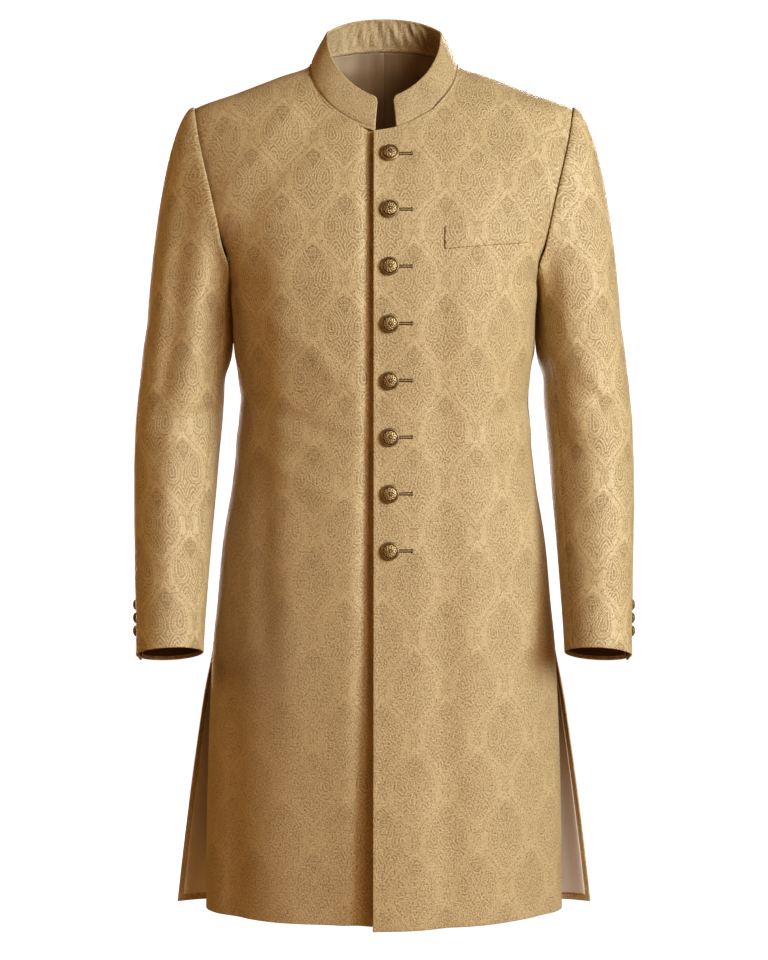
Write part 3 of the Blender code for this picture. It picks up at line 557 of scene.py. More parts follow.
# Colours
GROUND = (0.236, 0.137, 0.044)
FIGURE = (0.6, 0.44, 0.218)
BRASS_HOLLOW = (0.075, 0.04, 0.014)
BRASS_RAISED = (0.43, 0.295, 0.13)
# The buttonholes' stitches: their own dark brown made near-black, partly painted shade at their sunk ends
# beside the purl
HOLE_THREAD = (0.036, 0.012, 0.002)
# The slit's cord: painted shade, a near-black cord that stands in for the shadow in the buttonhole's
# opening
SLIT_SHADE = (0.02, 0.01, 0.004)
PURL_THREAD = (0.5, 0.34, 0.15)
COLLAR_THREAD = (0.3, 0.19, 0.085)

# The lining's satin, and the paler, cooler colour it turns to from the hips to the hem, which is partly
# painted light
LINING = (0.415, 0.288, 0.176)
LINING_LOW = (0.57, 0.5, 0.43)
SLEEVE_LINING = (0.085, 0.045, 0.02)
LINING_FADE = (-0.62, -0.98)
SATIN_TONES = (0.8, 1.16)
SATIN_SHARES = (0.6, 0.4)

# Brass: how far its tarnish shifts its tone and its roughness, and its roughness; and how dark the
# hollows between a thread's plies are
TARNISH_TONE = 0.5
TARNISH_ROUGH = 0.16
BRASS_ROUGH = (-0.12, 0.54)
PLY_DARK = 0.7

# Light: the room's colour, the lamps' target, and each lamp's place, size, power and colour
ROOM = (0.203, 0.098, 0.04)
LIGHT_TARGET = (0.0, 0.0, -0.4)
LIGHTS = {
    "key": ((2.5, -2.0, 0.45), 1.1, 132.0, (0.82, 1.0, 1.16)),
    "front": ((1.8, -3.0, 0.4), 1.0, 46.0, (1.0, 0.84, 0.7)),
    "high": ((1.8, -2.2, 2.0), 1.5, 16.0, (1.0, 0.84, 0.52)),
    "rim": ((-3.0, 0.3, 0.3), 1.2, 24.0, (1.0, 0.66, 0.24)),
    "behind": ((1.0, 3.3, 0.9), 1.5, 105.0, (0.96, 0.96, 1.0)),
    "behind_low": ((-0.8, 3.3, -0.5), 1.5, 55.0, (1.0, 0.94, 0.9)),
    "bounce": ((0.3, -2.0, -2.2), 1.5, 11.0, (1.0, 0.5, 0.1)),
}

# White backdrop: the floor's level, and how far out and up the paper goes
FLOOR = -1.4
BACKDROP = ((6.5, 0.0), (7.5, 0.15), (8.3, 0.6), (8.8, 1.4), (9.0, 2.6), (9.0, 6.0))
BACKDROP_SIDES = 48
PAPER_TONES = ((0.93, 0.93, 0.93), (0.97, 0.97, 0.97))
PAPER_GLOW = 1.0

# The photograph's camera: lens and sensor in millimetres, and its shift as a share of the picture
CAMERA_PLACE = (0, -3.2, -0.341)
LENS = 100
SENSOR = 36
CAMERA_SHIFT = -130 / 960


def smooth_curve(heights, values):
    """A function of height that runs smoothly through the rows and never overshoots them."""
    order = np.argsort(heights)
    x = np.asarray(heights, float)[order]
    y = np.asarray(values, float)[order]
    step = np.diff(x)
    slope = np.diff(y) / step
    lean = np.zeros(len(x))
    lean[[0, -1]] = slope[[0, -1]]
    for i in range(1, len(x) - 1):
        if slope[i - 1] * slope[i] > 0:
            before = 2 * step[i] + step[i - 1]
            after = step[i] + 2 * step[i - 1]
            lean[i] = (before + after) / (before / slope[i - 1] + after / slope[i])

    def value(at):
        at = np.clip(at, x[0], x[-1])
        i = np.clip(np.searchsorted(x, at) - 1, 0, len(step) - 1)
        t = (at - x[i]) / step[i]
        rise = y[i + 1] - y[i]
        start = step[i] * lean[i]
        end = step[i] * lean[i + 1]
        return y[i] + t * (start + t * (3 * rise - 2 * start - end + t * (start + end - 2 * rise)))

    return value


def curves_of(columns, rows):
    """One smooth function of height for each named column after the first."""
    table = np.array(rows)
    return {name: smooth_curve(table[:, 0], table[:, i]) for i, name in enumerate(columns) if i}


BODY_AT = curves_of(BODY_COLUMNS, BODY)
ARMHOLE_AT = curves_of(ARMHOLE_COLUMNS, ARMHOLE)
SLEEVE_AT = curves_of(SLEEVE_COLUMNS, SLEEVE)


def ease(low, high, value):
    """0 below low, 1 above high, with a soft start and end."""
    t = np.clip((value - low) / (high - low), 0, 1)
    return t * t * (3 - 2 * t)


def bell(value, middle, wide):
    """1 at the middle, falling off softly on both sides."""
    return np.exp(-(((value - middle) / wide) ** 2))


def unit(vectors):
    """The vectors, each at length 1."""
    return vectors / np.maximum(np.linalg.norm(vectors, axis=-1, keepdims=True), TINY)


def distance(points, others):
    return np.linalg.norm(points - others, axis=-1)


def run_along(points, axis=0):
    """How far each point lies along its line, from the line's first point."""
    run = np.cumsum(np.linalg.norm(np.diff(points, axis=axis), axis=-1), axis=axis)
    return np.concatenate([np.zeros_like(run.take([0], axis=axis)), run], axis=axis)


def points_at(places, at, run):
    """Points of a line at distances along it."""
    return np.stack([np.interp(places, at, run[:, i]) for i in range(3)], axis=-1)


def section(face, level):
    """Half width, depth, side setback and the two powers of the front's or the back's outline."""
    power = BODY_AT["fullness"](level)
    half = BODY_AT[face + "_half"](level)
    depth = BODY_AT[face](level)
    if face == "front":
        return half, depth, 0.0 * level, power, 1 / power
    spread = BODY_AT["spread"](level)
    edge = (1 - spread) / power + spread * BACK_SPREAD_POWER
    return half, depth, BODY_AT["back_side"](level), power, edge


def outline(parts, turn):
    """Places across and in depth on a section's outline, at quarter turns from its middle."""
    half, depth, setback, power, edge = parts
    deep = (depth - setback) * np.clip(np.cos(turn), 0, 1) ** (2 * edge)
    return np.stack([half * np.sin(turn) ** (2 / power), deep])


def body_depth(face, x, level):
    """The y of the body's outer surface at a place across and a height."""
    half, depth, setback, power, edge = section(face, level)
    inside = np.clip(1 - (np.abs(x) / half) ** power, 0, 1) ** edge
    away = setback + (depth - setback) * inside
    return away if face == "back" else -away


def on_body(face, x, level):
    return np.stack([x, body_depth(face, x, level), level], axis=-1)


def way_round(face, x, level):
    """Distance along the level section from the middle out to each place, with the sign of x."""
    parts = section(face, level)
    stop = np.arcsin(np.clip(np.abs(x) / parts[0], 0, 1) ** (parts[3] / 2))
    places = [outline(parts, stop * k / WAY_SAMPLES) for k in range(WAY_SAMPLES + 1)]
    total = np.zeros_like(x)
    for before, place in zip(places, places[1:]):
        total = total + np.hypot(*(place - before))
    return np.sign(x) * total


def across_at(face, level, shares):
    """Places across the body at shares of the way round from its middle, and the whole way."""
    parts = [float(part) for part in section(face, level)]
    places = outline(parts, np.linspace(0, math.pi / 2, QUARTER_SAMPLES)).T
    way = run_along(places)
    shares = np.asarray(shares, float)
    return np.sign(shares) * np.interp(np.abs(shares) * way[-1], way, places[:, 0]), way[-1]


def neck_level(face, x):
    """Height of the neck seam at a place across."""
    rise, power, root = NECK_CURVES[face]
    share = np.clip(np.abs(x) / NECK_HALF_WIDTH, 0, 1)
    return rise * (1 - share**power) ** root


def armhole_points(face, columns):
    """The armhole's points at columns from 0 at the shoulder tip to ARM_ROWS under the arm."""
    columns = np.asarray(columns, float)
    middle = (SHOULDER_TIP + UNDERARM) / 2
    level = middle + (SHOULDER_TIP - UNDERARM) / 2 * np.cos(math.pi * columns / ARM_ROWS)
    x = ARMHOLE_AT[face](level)
    y = np.where(columns == ARM_ROWS, 0.0, body_depth(face, x, level))
    return np.stack([x, y, level], axis=-1)


def neck_places(start, shares):
    """Places across the neck seam from start to the shoulder, closer together where it turns."""
    return start + (NECK_HALF_WIDTH - start) * np.sin(np.asarray(shares, float) * math.pi / 2)


def along_neck(face, places):
    """Places across the neck seam with their heights."""
    return np.stack([places, neck_level(face, places)], axis=-1)


def panel_columns():
    """Column numbers of a half panel, with the extra ones that round its seam at the side."""
    last = PANEL_COLUMNS
    return np.array([*range(last), *[last - 1 + step for step in SEAM_STEPS], last], float)


def panel_levels():
    """Heights of the rows below the underarm, from the hem up, closer together at the hem."""
    count = round((UNDERARM - HEM) / ROW_HEIGHT)
    low, *levels = np.linspace(HEM, UNDERARM, count + 1)[:-1]
    return [low, *[low + (levels[0] - low) * share for share in HEM_STEPS], *levels]


def upper_places(face, reach, collar_end, corner, columns):
    """Rows from the underarm level up to neck and shoulder, as places across and heights."""
    neck = columns[columns <= NECK_COLUMNS]
    top = []
    if reach:
        start = np.array([corner - reach, -NECK_FRONT_DROP - FRONT_CORNER_DROP])
        stop = along_neck(face, np.float64(collar_end))
        top.append(start + (neck[neck <= END_COLUMNS] / END_COLUMNS)[:, None] * (stop - start))
        shares = (neck[neck > END_COLUMNS] - END_COLUMNS) / (NECK_COLUMNS - END_COLUMNS)
    else:
        shares = neck / NECK_COLUMNS
    top.append(along_neck(face, neck_places(collar_end, shares)))
    level = SHOULDER_TIP * (columns[columns > NECK_COLUMNS] - NECK_COLUMNS) / SHOULDER_COLUMNS
    top.append(np.stack([section(face, level)[0], level], axis=-1))
    top = np.concatenate(top)
    top[-1] = armhole_points(face, [0])[0][[0, 2]]
    way = across_at(face, UNDERARM, [1])[1]
    c = columns / PANEL_COLUMNS
    shares = -reach / way + (1 + reach / way) * c
    bottom = np.stack([across_at(face, UNDERARM, shares)[0], np.full(len(c), UNDERARM)], axis=-1)
    rows = []
    for row in range(1, ARM_ROWS + 1):
        side = armhole_points(face, [ARM_ROWS - row])[0][[0, 2]]
        up = (side[1] - UNDERARM) / (SHOULDER_TIP - UNDERARM)
        straight = bottom + up * (top - bottom)
        near = np.array([-reach - straight[0, 0], 0])
        rows.append(straight + c[:, None] * (side - straight[-1]) + (1 - c)[:, None] * near)
    rows[-1] = top
    return np.array(rows)


def half_panel(face, reach=0.0, collar_end=0.0, corner=0.0):
    """Points of a half panel from its hem up, each row from the middle to the side."""
    columns = panel_columns()
    share = columns / PANEL_COLUMNS
    rows = []
    for level in [*panel_levels(), UNDERARM]:
        way = across_at(face, level, [1])[1]
        x = across_at(face, level, -reach / way + (1 + reach / way) * share)[0]
        rows.append(np.stack([x, np.full(len(x), level)], axis=-1))
    places = np.concatenate([rows, upper_places(face, reach, collar_end, corner, columns)])
    return on_body(face, places[..., 0], places[..., 1]), share


def facing_out(points, face):
    """Outward normals of a panel's grid, from its own lines."""
    normals = unit(np.cross(np.gradient(points, axis=1), np.gradient(points, axis=0)))
    return -normals if face == "back" else normals


def cloth_map(face, points):
    """Where each point lies in the cut panel, in metres: round from the middle and up from the
    underarm."""
    up = run_along(points[..., 1:])
    u = way_round(face, points[..., 0], points[..., 2])
    return np.stack([u, up - up[len(panel_levels())]], axis=-1)


def folds(rows, share, level):
    """How far the skirt's soft folds move the cloth out at a share round the panel."""
    total = sum(depth * bell(share, middle, wide) for middle, wide, depth in rows)
    return total * ease(0, 1, (FOLD_START - level) / (FOLD_START - HEM))


def over_lift(x, level):
    """How far the over front stands out from the body's surface."""
    closed = (CLOTH_WALL + OVERLAP_GAP) * (1 - ease(OVER_LIFT_FULL, OVER_LIFT_GONE, x))
    swing = SKIRT_SWING * (1 - ease(0, SKIRT_SWING_REACH, x))
    return closed + swing * ease(0, 1, (LAST_BUTTON - level) / (LAST_BUTTON - HEM))


def wave(x, level, rows):
    """Soft creases on a panel: each a trough or ridge along a line between two places."""
    total = np.zeros_like(x)
    for x0, z0, x1, z1, bow, wide, depth in rows:
        along = np.array([x1 - x0, z1 - z0])
        length = np.hypot(*along)
        along = along / length
        away = np.stack([x, level], axis=-1) - (x0, z0)
        run = away @ along
        off = away @ (-along[1], along[0]) - bow * np.sin(math.pi * np.clip(run / length, 0, 1))
        past = np.maximum(np.maximum(-run, run - length), 0)
        total = total + depth * bell(off, 0, wide) * bell(past, 0, CREASE_FADE * length + wide)
    return total


def seam_sink(points):
    """How far a body panel's cloth turns in beside the seams at its side and top."""
    beside = np.minimum(distance(points, points[:, -1:]), distance(points, points[-1:]))
    return SEAM_SINK * bell(beside, 0, SEAM_REACH)


def new_object(mesh, *finishes):
    """The mesh, smooth and with its materials, as an object of the scene."""
    mesh.shade_smooth()
    for finish in finishes:
        mesh.materials.append(finish)
    thing = bpy.data.objects.new(mesh.name, mesh)
    bpy.context.scene.collection.objects.link(thing)
    return thing


def mesh_of(name, points, faces, marks=None):
    """A mesh from points and faces, with a mark on each point where they are given."""
    mesh = bpy.data.meshes.new(name)
    mesh.from_pydata(points, [], faces)
    if marks is not None:
        add_marks(mesh, marks)
    return mesh


def add_marks(mesh, marks):
    """One number on each point for its material to read."""
    mesh.attributes.new("mark", "FLOAT", "POINT").data.foreach_set("value", marks)


def new_piece(mesh, slot, *finishes, node=None):
    """A visible piece of the coat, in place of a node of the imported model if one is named."""
    thing = new_object(mesh, *finishes)
    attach(thing, "root")
    if node:
        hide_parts(node)
    return thing


def ring_faces(start, rings, sides):
    """Faces between rings of points that follow each other."""
    faces = []
    for low in range(start, start + (rings - 1) * sides, sides):
        high = low + sides
        for k in range(sides):
            after = (k + 1) % sides
            faces.append((low + k, low + after, high + after, high + k))
    return faces


def cloth_shell(kind, node, outer, normals, wall, uv, finishes, inside=None, mark=0.0):
    """A closed sheet of cloth with its edges rounded like a fold, half a wall beyond the grid.

    wall and mark are one number or one for each point. inside gives the material of the inner
    side's faces.
    """
    rows, columns = outer.shape[:2]
    index = np.arange(rows * columns).reshape(rows, columns)
    border = np.concatenate([index[0, :-1], index[:-1, -1], index[-1, :0:-1], index[:0:-1, 0]])
    flat = outer.reshape(-1, 3)
    facing = normals.reshape(-1, 3)
    thick = np.broadcast_to(wall, (rows, columns)).reshape(-1, 1)
    ring = flat[border]
    away = unit(np.cross(np.roll(ring, -1, axis=0) - np.roll(ring, 1, axis=0), facing[border]))
    row, column = np.divmod(border, columns)
    towards = ring - outer[np.clip(row, 1, rows - 2), np.clip(column, 1, columns - 2)]
    sign = np.sign(np.einsum("ij,ij->i", away, towards))
    away *= np.median(sign[sign != 0])
    radius = thick[border] / 2
    points = [flat, flat - facing * thick]
    layers = [border]
    for turn in RIM_TURNS:
        lean = math.radians(turn)
        layers.append(sum(len(part) for part in points) + np.arange(len(border)))
        points.append(ring + radius * (facing[border] * (math.cos(lean) - 1) + away * math.sin(lean)))
    layers.append(len(flat) + border)
    points = np.concatenate(points)

    grid = np.stack([index[:-1, :-1], index[:-1, 1:], index[1:, 1:], index[1:, :-1]], axis=-1)
    grid = grid.reshape(-1, 4)
    faces = [grid, len(flat) + grid[:, ::-1]]
    for low, high in zip(layers, layers[1:]):
        faces.append(np.stack([np.roll(low, -1), low, high, np.roll(high, -1)], axis=-1))
    faces = np.concatenate(faces)
    kinds = np.zeros(len(faces), int)
    if inside is not None:
        kinds[len(grid) : 2 * len(grid)] = inside[:-1, :-1].reshape(-1)
    corners = points[faces] - points[faces[:, :1]]
    area = np.cross(corners[:, 1], corners[:, 2]) + np.cross(corners[:, 2], corners[:, 3])
    if np.einsum("ij,ij->", points[faces[:, 0]], area) < 0:
        faces = faces[:, ::-1]

    mesh = bpy.data.meshes.new(f"{kind}_{node}")
    mesh.vertices.add(len(points))
    mesh.vertices.foreach_set("co", points.ravel())
    mesh.loops.add(faces.size)
    mesh.loops.foreach_set("vertex_index", faces.ravel())
    mesh.polygons.add(len(faces))
    mesh.polygons.foreach_set("loop_start", np.arange(0, faces.size, 4))
    mesh.update(calc_edges=True)
    mesh.polygons.foreach_set("material_index", kinds)

    # Which point of the grid each point comes from: the outer side, the inner side and the rims
    source = np.concatenate([index.ravel(), index.ravel(), *[border] * len(RIM_TURNS)])
    places = uv.reshape(-1, 2)[source]
    mesh.uv_layers.new(name="cloth").data.foreach_set("uv", places[faces.ravel()].ravel())
    add_marks(mesh, np.broadcast_to(mark, (rows, columns)).reshape(-1)[source])
    new_piece(mesh, SLOTS[kind], *finishes, node=node)


def tucked(points, **gaps):
    """The grid drawn back from its named edges, so that nothing near an edge folds over.

    A gap is one distance or one for each point of the edge, and below nought it lets the cloth out.
    """
    moved = points.copy()
    for name, gap in gaps.items():
        axis, step = EDGES[name]
        grid = np.moveaxis(moved, axis, 0)[::step]
        gap = np.broadcast_to(gap, grid.shape[1:2])
        away = distance(grid, grid[:1])
        reach = np.maximum(TUCK_SPREAD * np.abs(gap), TUCK_LEAST)
        pick = np.argmax(away > reach, axis=0)
        inner = np.take_along_axis(grid, pick[None, :, None], axis=0)[0]
        shift = gap * np.clip(1 - away / reach, 0, 1)
        grid += unit(inner - grid[0])[None] * shift[:, :, None]
    return moved


def tucked_all_round(points, gap):
    return tucked(points, **dict.fromkeys(EDGES, gap))


def side_gap(points):
    """How far a body panel's side edge is drawn back: at the armhole it runs on under the sleeve."""
    return SEAM_EDGE - (SEAM_EDGE + ARMHOLE_UNDER) * ease(*ARMHOLE_BLEND, points[:, -1, 2])


def plainness(which, level):
    """How faintly the woven figure shows, from 0 to 1: the light takes it away towards the hem."""
    start, stop = FIGURE_FADES[which]
    return start + (stop - start) * ease(0, 1, (FADE_TOP - level) / FADE_LENGTH)


def make_front(which, finishes):
    """One front, made as the wearer's left one. Only the left front laps over the other."""
    reach, collar_end, corner, fold_rows, crease_rows = FRONTS[which]
    points, share = half_panel("front", reach, collar_end, corner)
    uv = cloth_map("front", points)
    x = points[..., 0]
    level = points[..., 2]
    lift = folds(fold_rows, share, level) - seam_sink(points)
    if which == "left":
        lift = lift + over_lift(x, level) + wave(x, level, crease_rows)
    else:
        lift = lift + wave(-x, level, crease_rows)
    outer = points + facing_out(points, "front") * lift[..., None]
    if which == "left":
        low = 1 - ease(0, HEM_DROP_REACH, level - HEM)
        outer[..., 2] -= OVER_HEM_DROP * (1 - share) * low
    half = CLOTH_WALL / 2
    outer = tucked(outer, side=side_gap(outer), top=SEAM_EDGE, middle=half, hem=half)
    normals = facing_out(outer, "front")
    past_facing = outer[..., 0] - outer[:, :1, 0] > FRONT_FACING
    inside = past_facing & (outer[..., 2] - outer[:1, :, 2] > HEM_FACING)
    mark = plainness(which, outer[..., 2])
    if which == "right":
        outer, normals, uv = outer * MIRROR, normals * MIRROR, uv * MIRROR[:2]
    node = "front_" + which
    uv = uv + MAP_SHIFTS[node]
    cloth_shell("cloth", node, outer, normals, CLOTH_WALL, uv, finishes, inside, mark)


def back_grid():
    """Half the back's body form, its outward normals, its folded outer side and its cloth map."""
    points, share = half_panel("back")
    normals = facing_out(points, "back")
    folded = points + normals * folds(BACK_FOLDS, share, points[..., 2])[..., None]
    return points, normals, folded, cloth_map("back", points)


def both_halves(grid):
    """A half panel's grid with its mirror image before it, from the wearer's right to the left."""
    return np.concatenate([(grid * MIRROR[: grid.shape[-1]])[:, :0:-1], grid], axis=1)


def make_back(finishes):
    _, normals, folded, uv = back_grid()
    outer = both_halves(folded - normals * seam_sink(folded)[..., None])
    creases = wave(outer[..., 0], outer[..., 2], BACK_CREASES)
    outer = outer + both_halves(normals) * creases[..., None]
    side = side_gap(outer)
    outer = tucked(outer, side=side, middle=side, top=SEAM_EDGE, hem=CLOTH_WALL / 2)
    facing = facing_out(outer, "back")
    mark = plainness("right", outer[..., 2])
    uv = both_halves(uv)
    cloth_shell("cloth", "back", outer, facing, CLOTH_WALL, uv, finishes, mark=mark)


def make_lining(side, finishes):
    """Half the back's lining, just inside the cloth and following its folds and creases."""
    points, normals, folded, uv = back_grid()
    level = points[..., 2]
    ripple = wave(points[..., 0], level, LINING_RIPPLES[side])
    x = folded[..., 0]
    sway = wave(x if side == "left" else -x, level, BACK_CREASES)
    inward = sway - CLOTH_WALL - 2 * SEAM_GAP - np.abs(ripple)
    outer = tucked(folded + normals * inward[..., None], **LINING_BORDERS)
    facing = facing_out(outer, "back")
    if side == "right":
        outer, facing, uv = outer * MIRROR, facing * MIRROR, uv * MIRROR[:2]
    cloth_shell("satin", "lining_" + side, outer, facing, LINING_WALL, uv, finishes)


def sleeve_turns(columns, fall):
    """Turns round the sleeve for its columns, from under the arm by the back and round to it again."""
    behind = (columns + ARM_ROWS) / (BACK_SEAM_COLUMN + ARM_ROWS)
    before = np.maximum(0, (FRONT_SEAM_COLUMN - columns) / (FRONT_SEAM_COLUMN - BACK_SEAM_COLUMN))
    weight = np.where(columns <= BACK_SEAM_COLUMN, behind, before)
    return math.pi * columns / ARM_ROWS + BACK_SEAM_TWIST * weight * fall


def sleeve_ring(level, turns, creases):
    """One section of the left sleeve, a point for each turn round it."""
    across, deep, half_width, half_depth, tilt = (
        float(SLEEVE_AT[name](level)) for name in SLEEVE_COLUMNS[1:]
    )
    lean = math.radians(tilt)
    roll = CUFF_ROLL * ease(0, 1, (CUFF_ROLL_START - level) / (CUFF_ROLL_START - SLEEVE[-1][0]))
    press = np.zeros_like(turns)
    for height, turn, slant, tall, wide, depth in creases:
        off = (np.degrees(turns) - turn + 180) % 360 - 180
        press += depth * bell(off, 0, wide) * bell(level, height + slant * off, tall)
    forward = (half_depth + press) * np.sin(turns)
    return np.stack([
        across + (half_width + press) * np.cos(turns),
        deep - forward * math.cos(lean),
        level + forward * math.sin(lean) - roll * np.cos(turns),
    ], axis=-1)


def sleeve_columns():
    """Column numbers round the sleeve, with extra ones beside its two seams."""
    numbers = set(range(-ARM_ROWS, ARM_ROWS + 1))
    for seam in (FRONT_SEAM_COLUMN, BACK_SEAM_COLUMN):
        for step in SLEEVE_SEAM_STEPS:
            numbers |= {seam - step, seam + step}
    return np.array(sorted(numbers), float)


def sleeve_grid(columns, creases):
    """The left sleeve's outer points: rows from the armhole down, columns round it."""
    first = SLEEVE[0][0]
    last = SLEEVE[-1][0]
    ring = sleeve_ring(first, sleeve_turns(columns, 0), creases)
    turn = math.pi * columns / ARM_ROWS
    front = armhole_points("front", np.abs(columns))
    behind = armhole_points("back", np.abs(columns))
    seam = np.where((columns > 0)[:, None], front, behind)
    top = (1 + np.cos(turn)) / 2
    rise = CAP_RISE[0] * top - CAP_RISE[1] * (1 - top) ** 3
    out = unit(np.stack([CAP_OUT[0] * top + CAP_OUT[1], -CAP_FORWARD * np.sin(turn), rise], axis=-1))
    start = seam + out * SEAM_GAP
    pull = start + out * (CAP_PULL[0] * top + CAP_PULL[1])[:, None]
    fall = np.stack([-CAP_TUCK * top, 0 * top, CAP_FALL[0] * top + CAP_FALL[1]], axis=-1)
    rows = []
    for k in range(CAP_ROWS):
        t = (k / CAP_ROWS) ** CAP_CROWDING
        near = (1 - t) ** 3 * start + 3 * t * (1 - t) ** 2 * pull
        rows.append(near + 3 * t * t * (1 - t) * (ring + fall) + t**3 * ring)
    levels = np.linspace(first, last, round((first - last) / ROW_HEIGHT) + 1)
    step = levels[0] - levels[1]
    for level in [*levels[:-1], *[last + step * share for share in HEM_STEPS[::-1]], last]:
        turns = sleeve_turns(columns, (level - first) / (last - first))
        rows.append(sleeve_ring(level, turns, creases))
    return np.array(rows)


def round_normals(points):
    """Outward normals of a grid that closes on itself round its columns."""
    closed = np.concatenate([points[:, -2:-1], points, points[:, 1:2]], axis=1)
    return unit(np.cross((closed[:, 2:] - closed[:, :-2]) / 2, np.gradient(points, axis=0)))


def sleeve_map(points, columns):
    """Where each point of the sleeve lies in the cut cloth: round from its top line, and up."""
    u = run_along(points, axis=1)
    u = u - u[:, column_at(columns, 0)][:, None]
    u[:CAP_ROWS] = u[CAP_ROWS]
    v = run_along(points)
    return np.stack([u, v[CAP_ROWS] - v], axis=-1)


def column_at(columns, number):
    return int(np.argmin(np.abs(columns - number)))


def make_sleeve(side, finishes):
    """A two-piece sleeve: the top sleeve over the arm and the under sleeve beneath it. Its points,
    normals and columns place the buttons."""
    columns = sleeve_columns()
    points = sleeve_grid(columns, SLEEVE_CREASES[side])
    normals = round_normals(points)
    uv = sleeve_map(points, columns)
    seams = [column_at(columns, seam) for seam in (BACK_SEAM_COLUMN, FRONT_SEAM_COLUMN)]
    for at in reversed(seams):
        sink = SEAM_SINK * bell(distance(points, points[:, at : at + 1]), 0, SEAM_REACH)
        points = points - normals * sink[..., None]
    from_armhole = distance(points, points[:1]) / CAP_PUFF_REACH
    points = points + normals * (CAP_PUFF * from_armhole * np.exp(1 - from_armhole))[..., None]
    normals = round_normals(points)
    back_seam, front_seam = seams
    last = len(columns) - 1
    parts = {
        "top_sleeve": list(range(back_seam, front_seam + 1)),
        "under_sleeve": [*range(front_seam, last), *range(back_seam + 1)],
    }
    for name, picked in parts.items():
        outer = points[:, picked]
        facing = normals[:, picked]
        flat = uv[:, picked]
        low = outer[-1:]
        inside = distance(outer, low) > CUFF_FACING
        if name == "under_sleeve":
            flat[:, last - front_seam :, 0] += (uv[:, last, 0] - uv[:, 0, 0])[:, None]
        else:
            at_vent = bell(columns[picked], BACK_SEAM_COLUMN, CUFF_VENT_COLUMNS)
            near_cuff = 1 - ease(0, CUFF_VENT, outer[..., 2] - low[..., 2])
            outer = outer + facing * (CUFF_VENT_LIFT * at_vent * near_cuff)[..., None]
            outer[..., 2] -= CUFF_VENT_DROP * at_vent * near_cuff**2
        outer = tucked(outer, hem=SEAM_EDGE, middle=SEAM_EDGE, side=SEAM_EDGE, top=CLOTH_WALL / 2)
        if side == "right":
            outer, facing, flat = outer * MIRROR, facing * MIRROR, flat * MIRROR[:2]
        flat = flat + MAP_SHIFTS["sleeve_" + side]
        node = f"{name}_{side}"
        cloth_shell("cloth", node, outer, facing, CLOTH_WALL, flat, finishes, inside)
    return points, normals, columns


def neck_part(face, start, steps):
    """Points of the neck seam on one face, from near the middle to the shoulder."""
    x = neck_places(start, np.linspace(0, 1, steps + 1))
    return on_body(face, x, neck_level(face, x))


def neck_loop():
    """Points of the neck seam from the wearer's right front end round the back to the left one, and
    how far along it each lies."""
    right = neck_part("front", COLLAR_LEFT_END, COLLAR_FRONT_STEPS) * MIRROR
    left = neck_part("front", COLLAR_RIGHT_END, COLLAR_FRONT_STEPS)
    behind = neck_part("back", 0.0, COLLAR_BACK_STEPS)
    ring = np.concatenate([right, (behind * MIRROR)[-2::-1], behind[1:-1], left[::-1]])
    run = run_along(ring)
    even = np.linspace(0, run[-1], COLLAR_STEPS + 1)
    return points_at(even, run, ring), even


def collar_rise(line):
    """How far and which way the collar stands up from each point of the neck seam."""
    behind = np.clip(line[:, 1], 0, None) / line[:, 1].max()
    return np.stack([
        -COLLAR_SIDE_LEAN * line[:, 0] / NECK_HALF_WIDTH,
        -COLLAR_FRONT_LEAN * line[:, 1] / COLLAR_FRONT_DEPTH,
        COLLAR_RISE - COLLAR_BACK_LOSS * behind,
    ], axis=1)


def part_of(share, size, middle, wide):
    """A size that only counts near the middle."""
    return size * bell(share, middle, wide)


def make_collar(finishes):
    """The stand collar, open at the front, leaning in towards the neck, its top edge rolled."""
    line, run = neck_loop()
    rise = collar_rise(line)
    outward = line * LEVEL / NECK_HALF_WIDTH
    foot = line + COLLAR_CLEARANCE * (UP - outward)
    share = np.array(COLLAR_SHARES)[:, None]
    out = COLLAR_BOW * np.sin(math.pi * share)
    out = out + part_of(share, *COLLAR_ROLL) - part_of(share, *COLLAR_SEAM_DIP)
    outer = foot + rise * share[..., None] + out[..., None] * outward
    height = np.linalg.norm(rise, axis=1).mean()
    uv = np.stack(np.broadcast_arrays(run - run[-1] / 2, share * height), axis=-1)
    for end in (0, -1):
        near = np.clip(1 - np.abs(run - run[end]) / COLLAR_CORNER, 0, 1)
        drop = COLLAR_CORNER * (1 - np.sqrt(1 - near**2))
        outer -= unit(rise) * (drop * np.maximum(share, 0) ** COLLAR_CORNER_POWER)[..., None]
    normals = unit(np.cross(np.gradient(outer, axis=0), np.gradient(outer, axis=1)))
    behind = np.clip(line[:, 1] / COLLAR_WAVES_BEHIND, 0, 1)
    waves = sum(
        deep * np.sin(run * pitch + lean * share * 2 + start)
        for pitch, deep, lean, start in COLLAR_WAVES
    )
    waves = waves * behind * np.sin(math.pi * np.clip(share, 0, 1)) ** COLLAR_WAVES_POWER
    wall = COLLAR_WALL - part_of(share, *COLLAR_EDGE_THIN) + waves
    outer = tucked_all_round(outer, COLLAR_WALL / 2)
    cloth_shell("cloth", "collar", outer, normals, wall, uv, finishes, mark=COLLAR_PLAINNESS)


def front_surface(x, level):
    """Points of the over front's outer surface at places across and heights, and where they face."""
    x = np.asarray(x, float)
    level = np.asarray(level, float)

    def place(px, pz, e=SLOPE_STEP):
        dx = body_depth("front", px + e, pz) - body_depth("front", px - e, pz)
        dz = body_depth("front", px, pz + e) - body_depth("front", px, pz - e)
        facing = unit(np.stack([dx, np.full_like(dx, -2 * e), dz], axis=-1))
        lift = over_lift(px, pz) + wave(px, pz, LEFT_FRONT_CREASES)
        return on_body("front", px, pz) + facing * lift[..., None]

    across = place(x + NORMAL_STEP, level) - place(x - NORMAL_STEP, level)
    up = place(x, level + NORMAL_STEP) - place(x, level - NORMAL_STEP)
    return place(x, level), unit(np.cross(across, up))


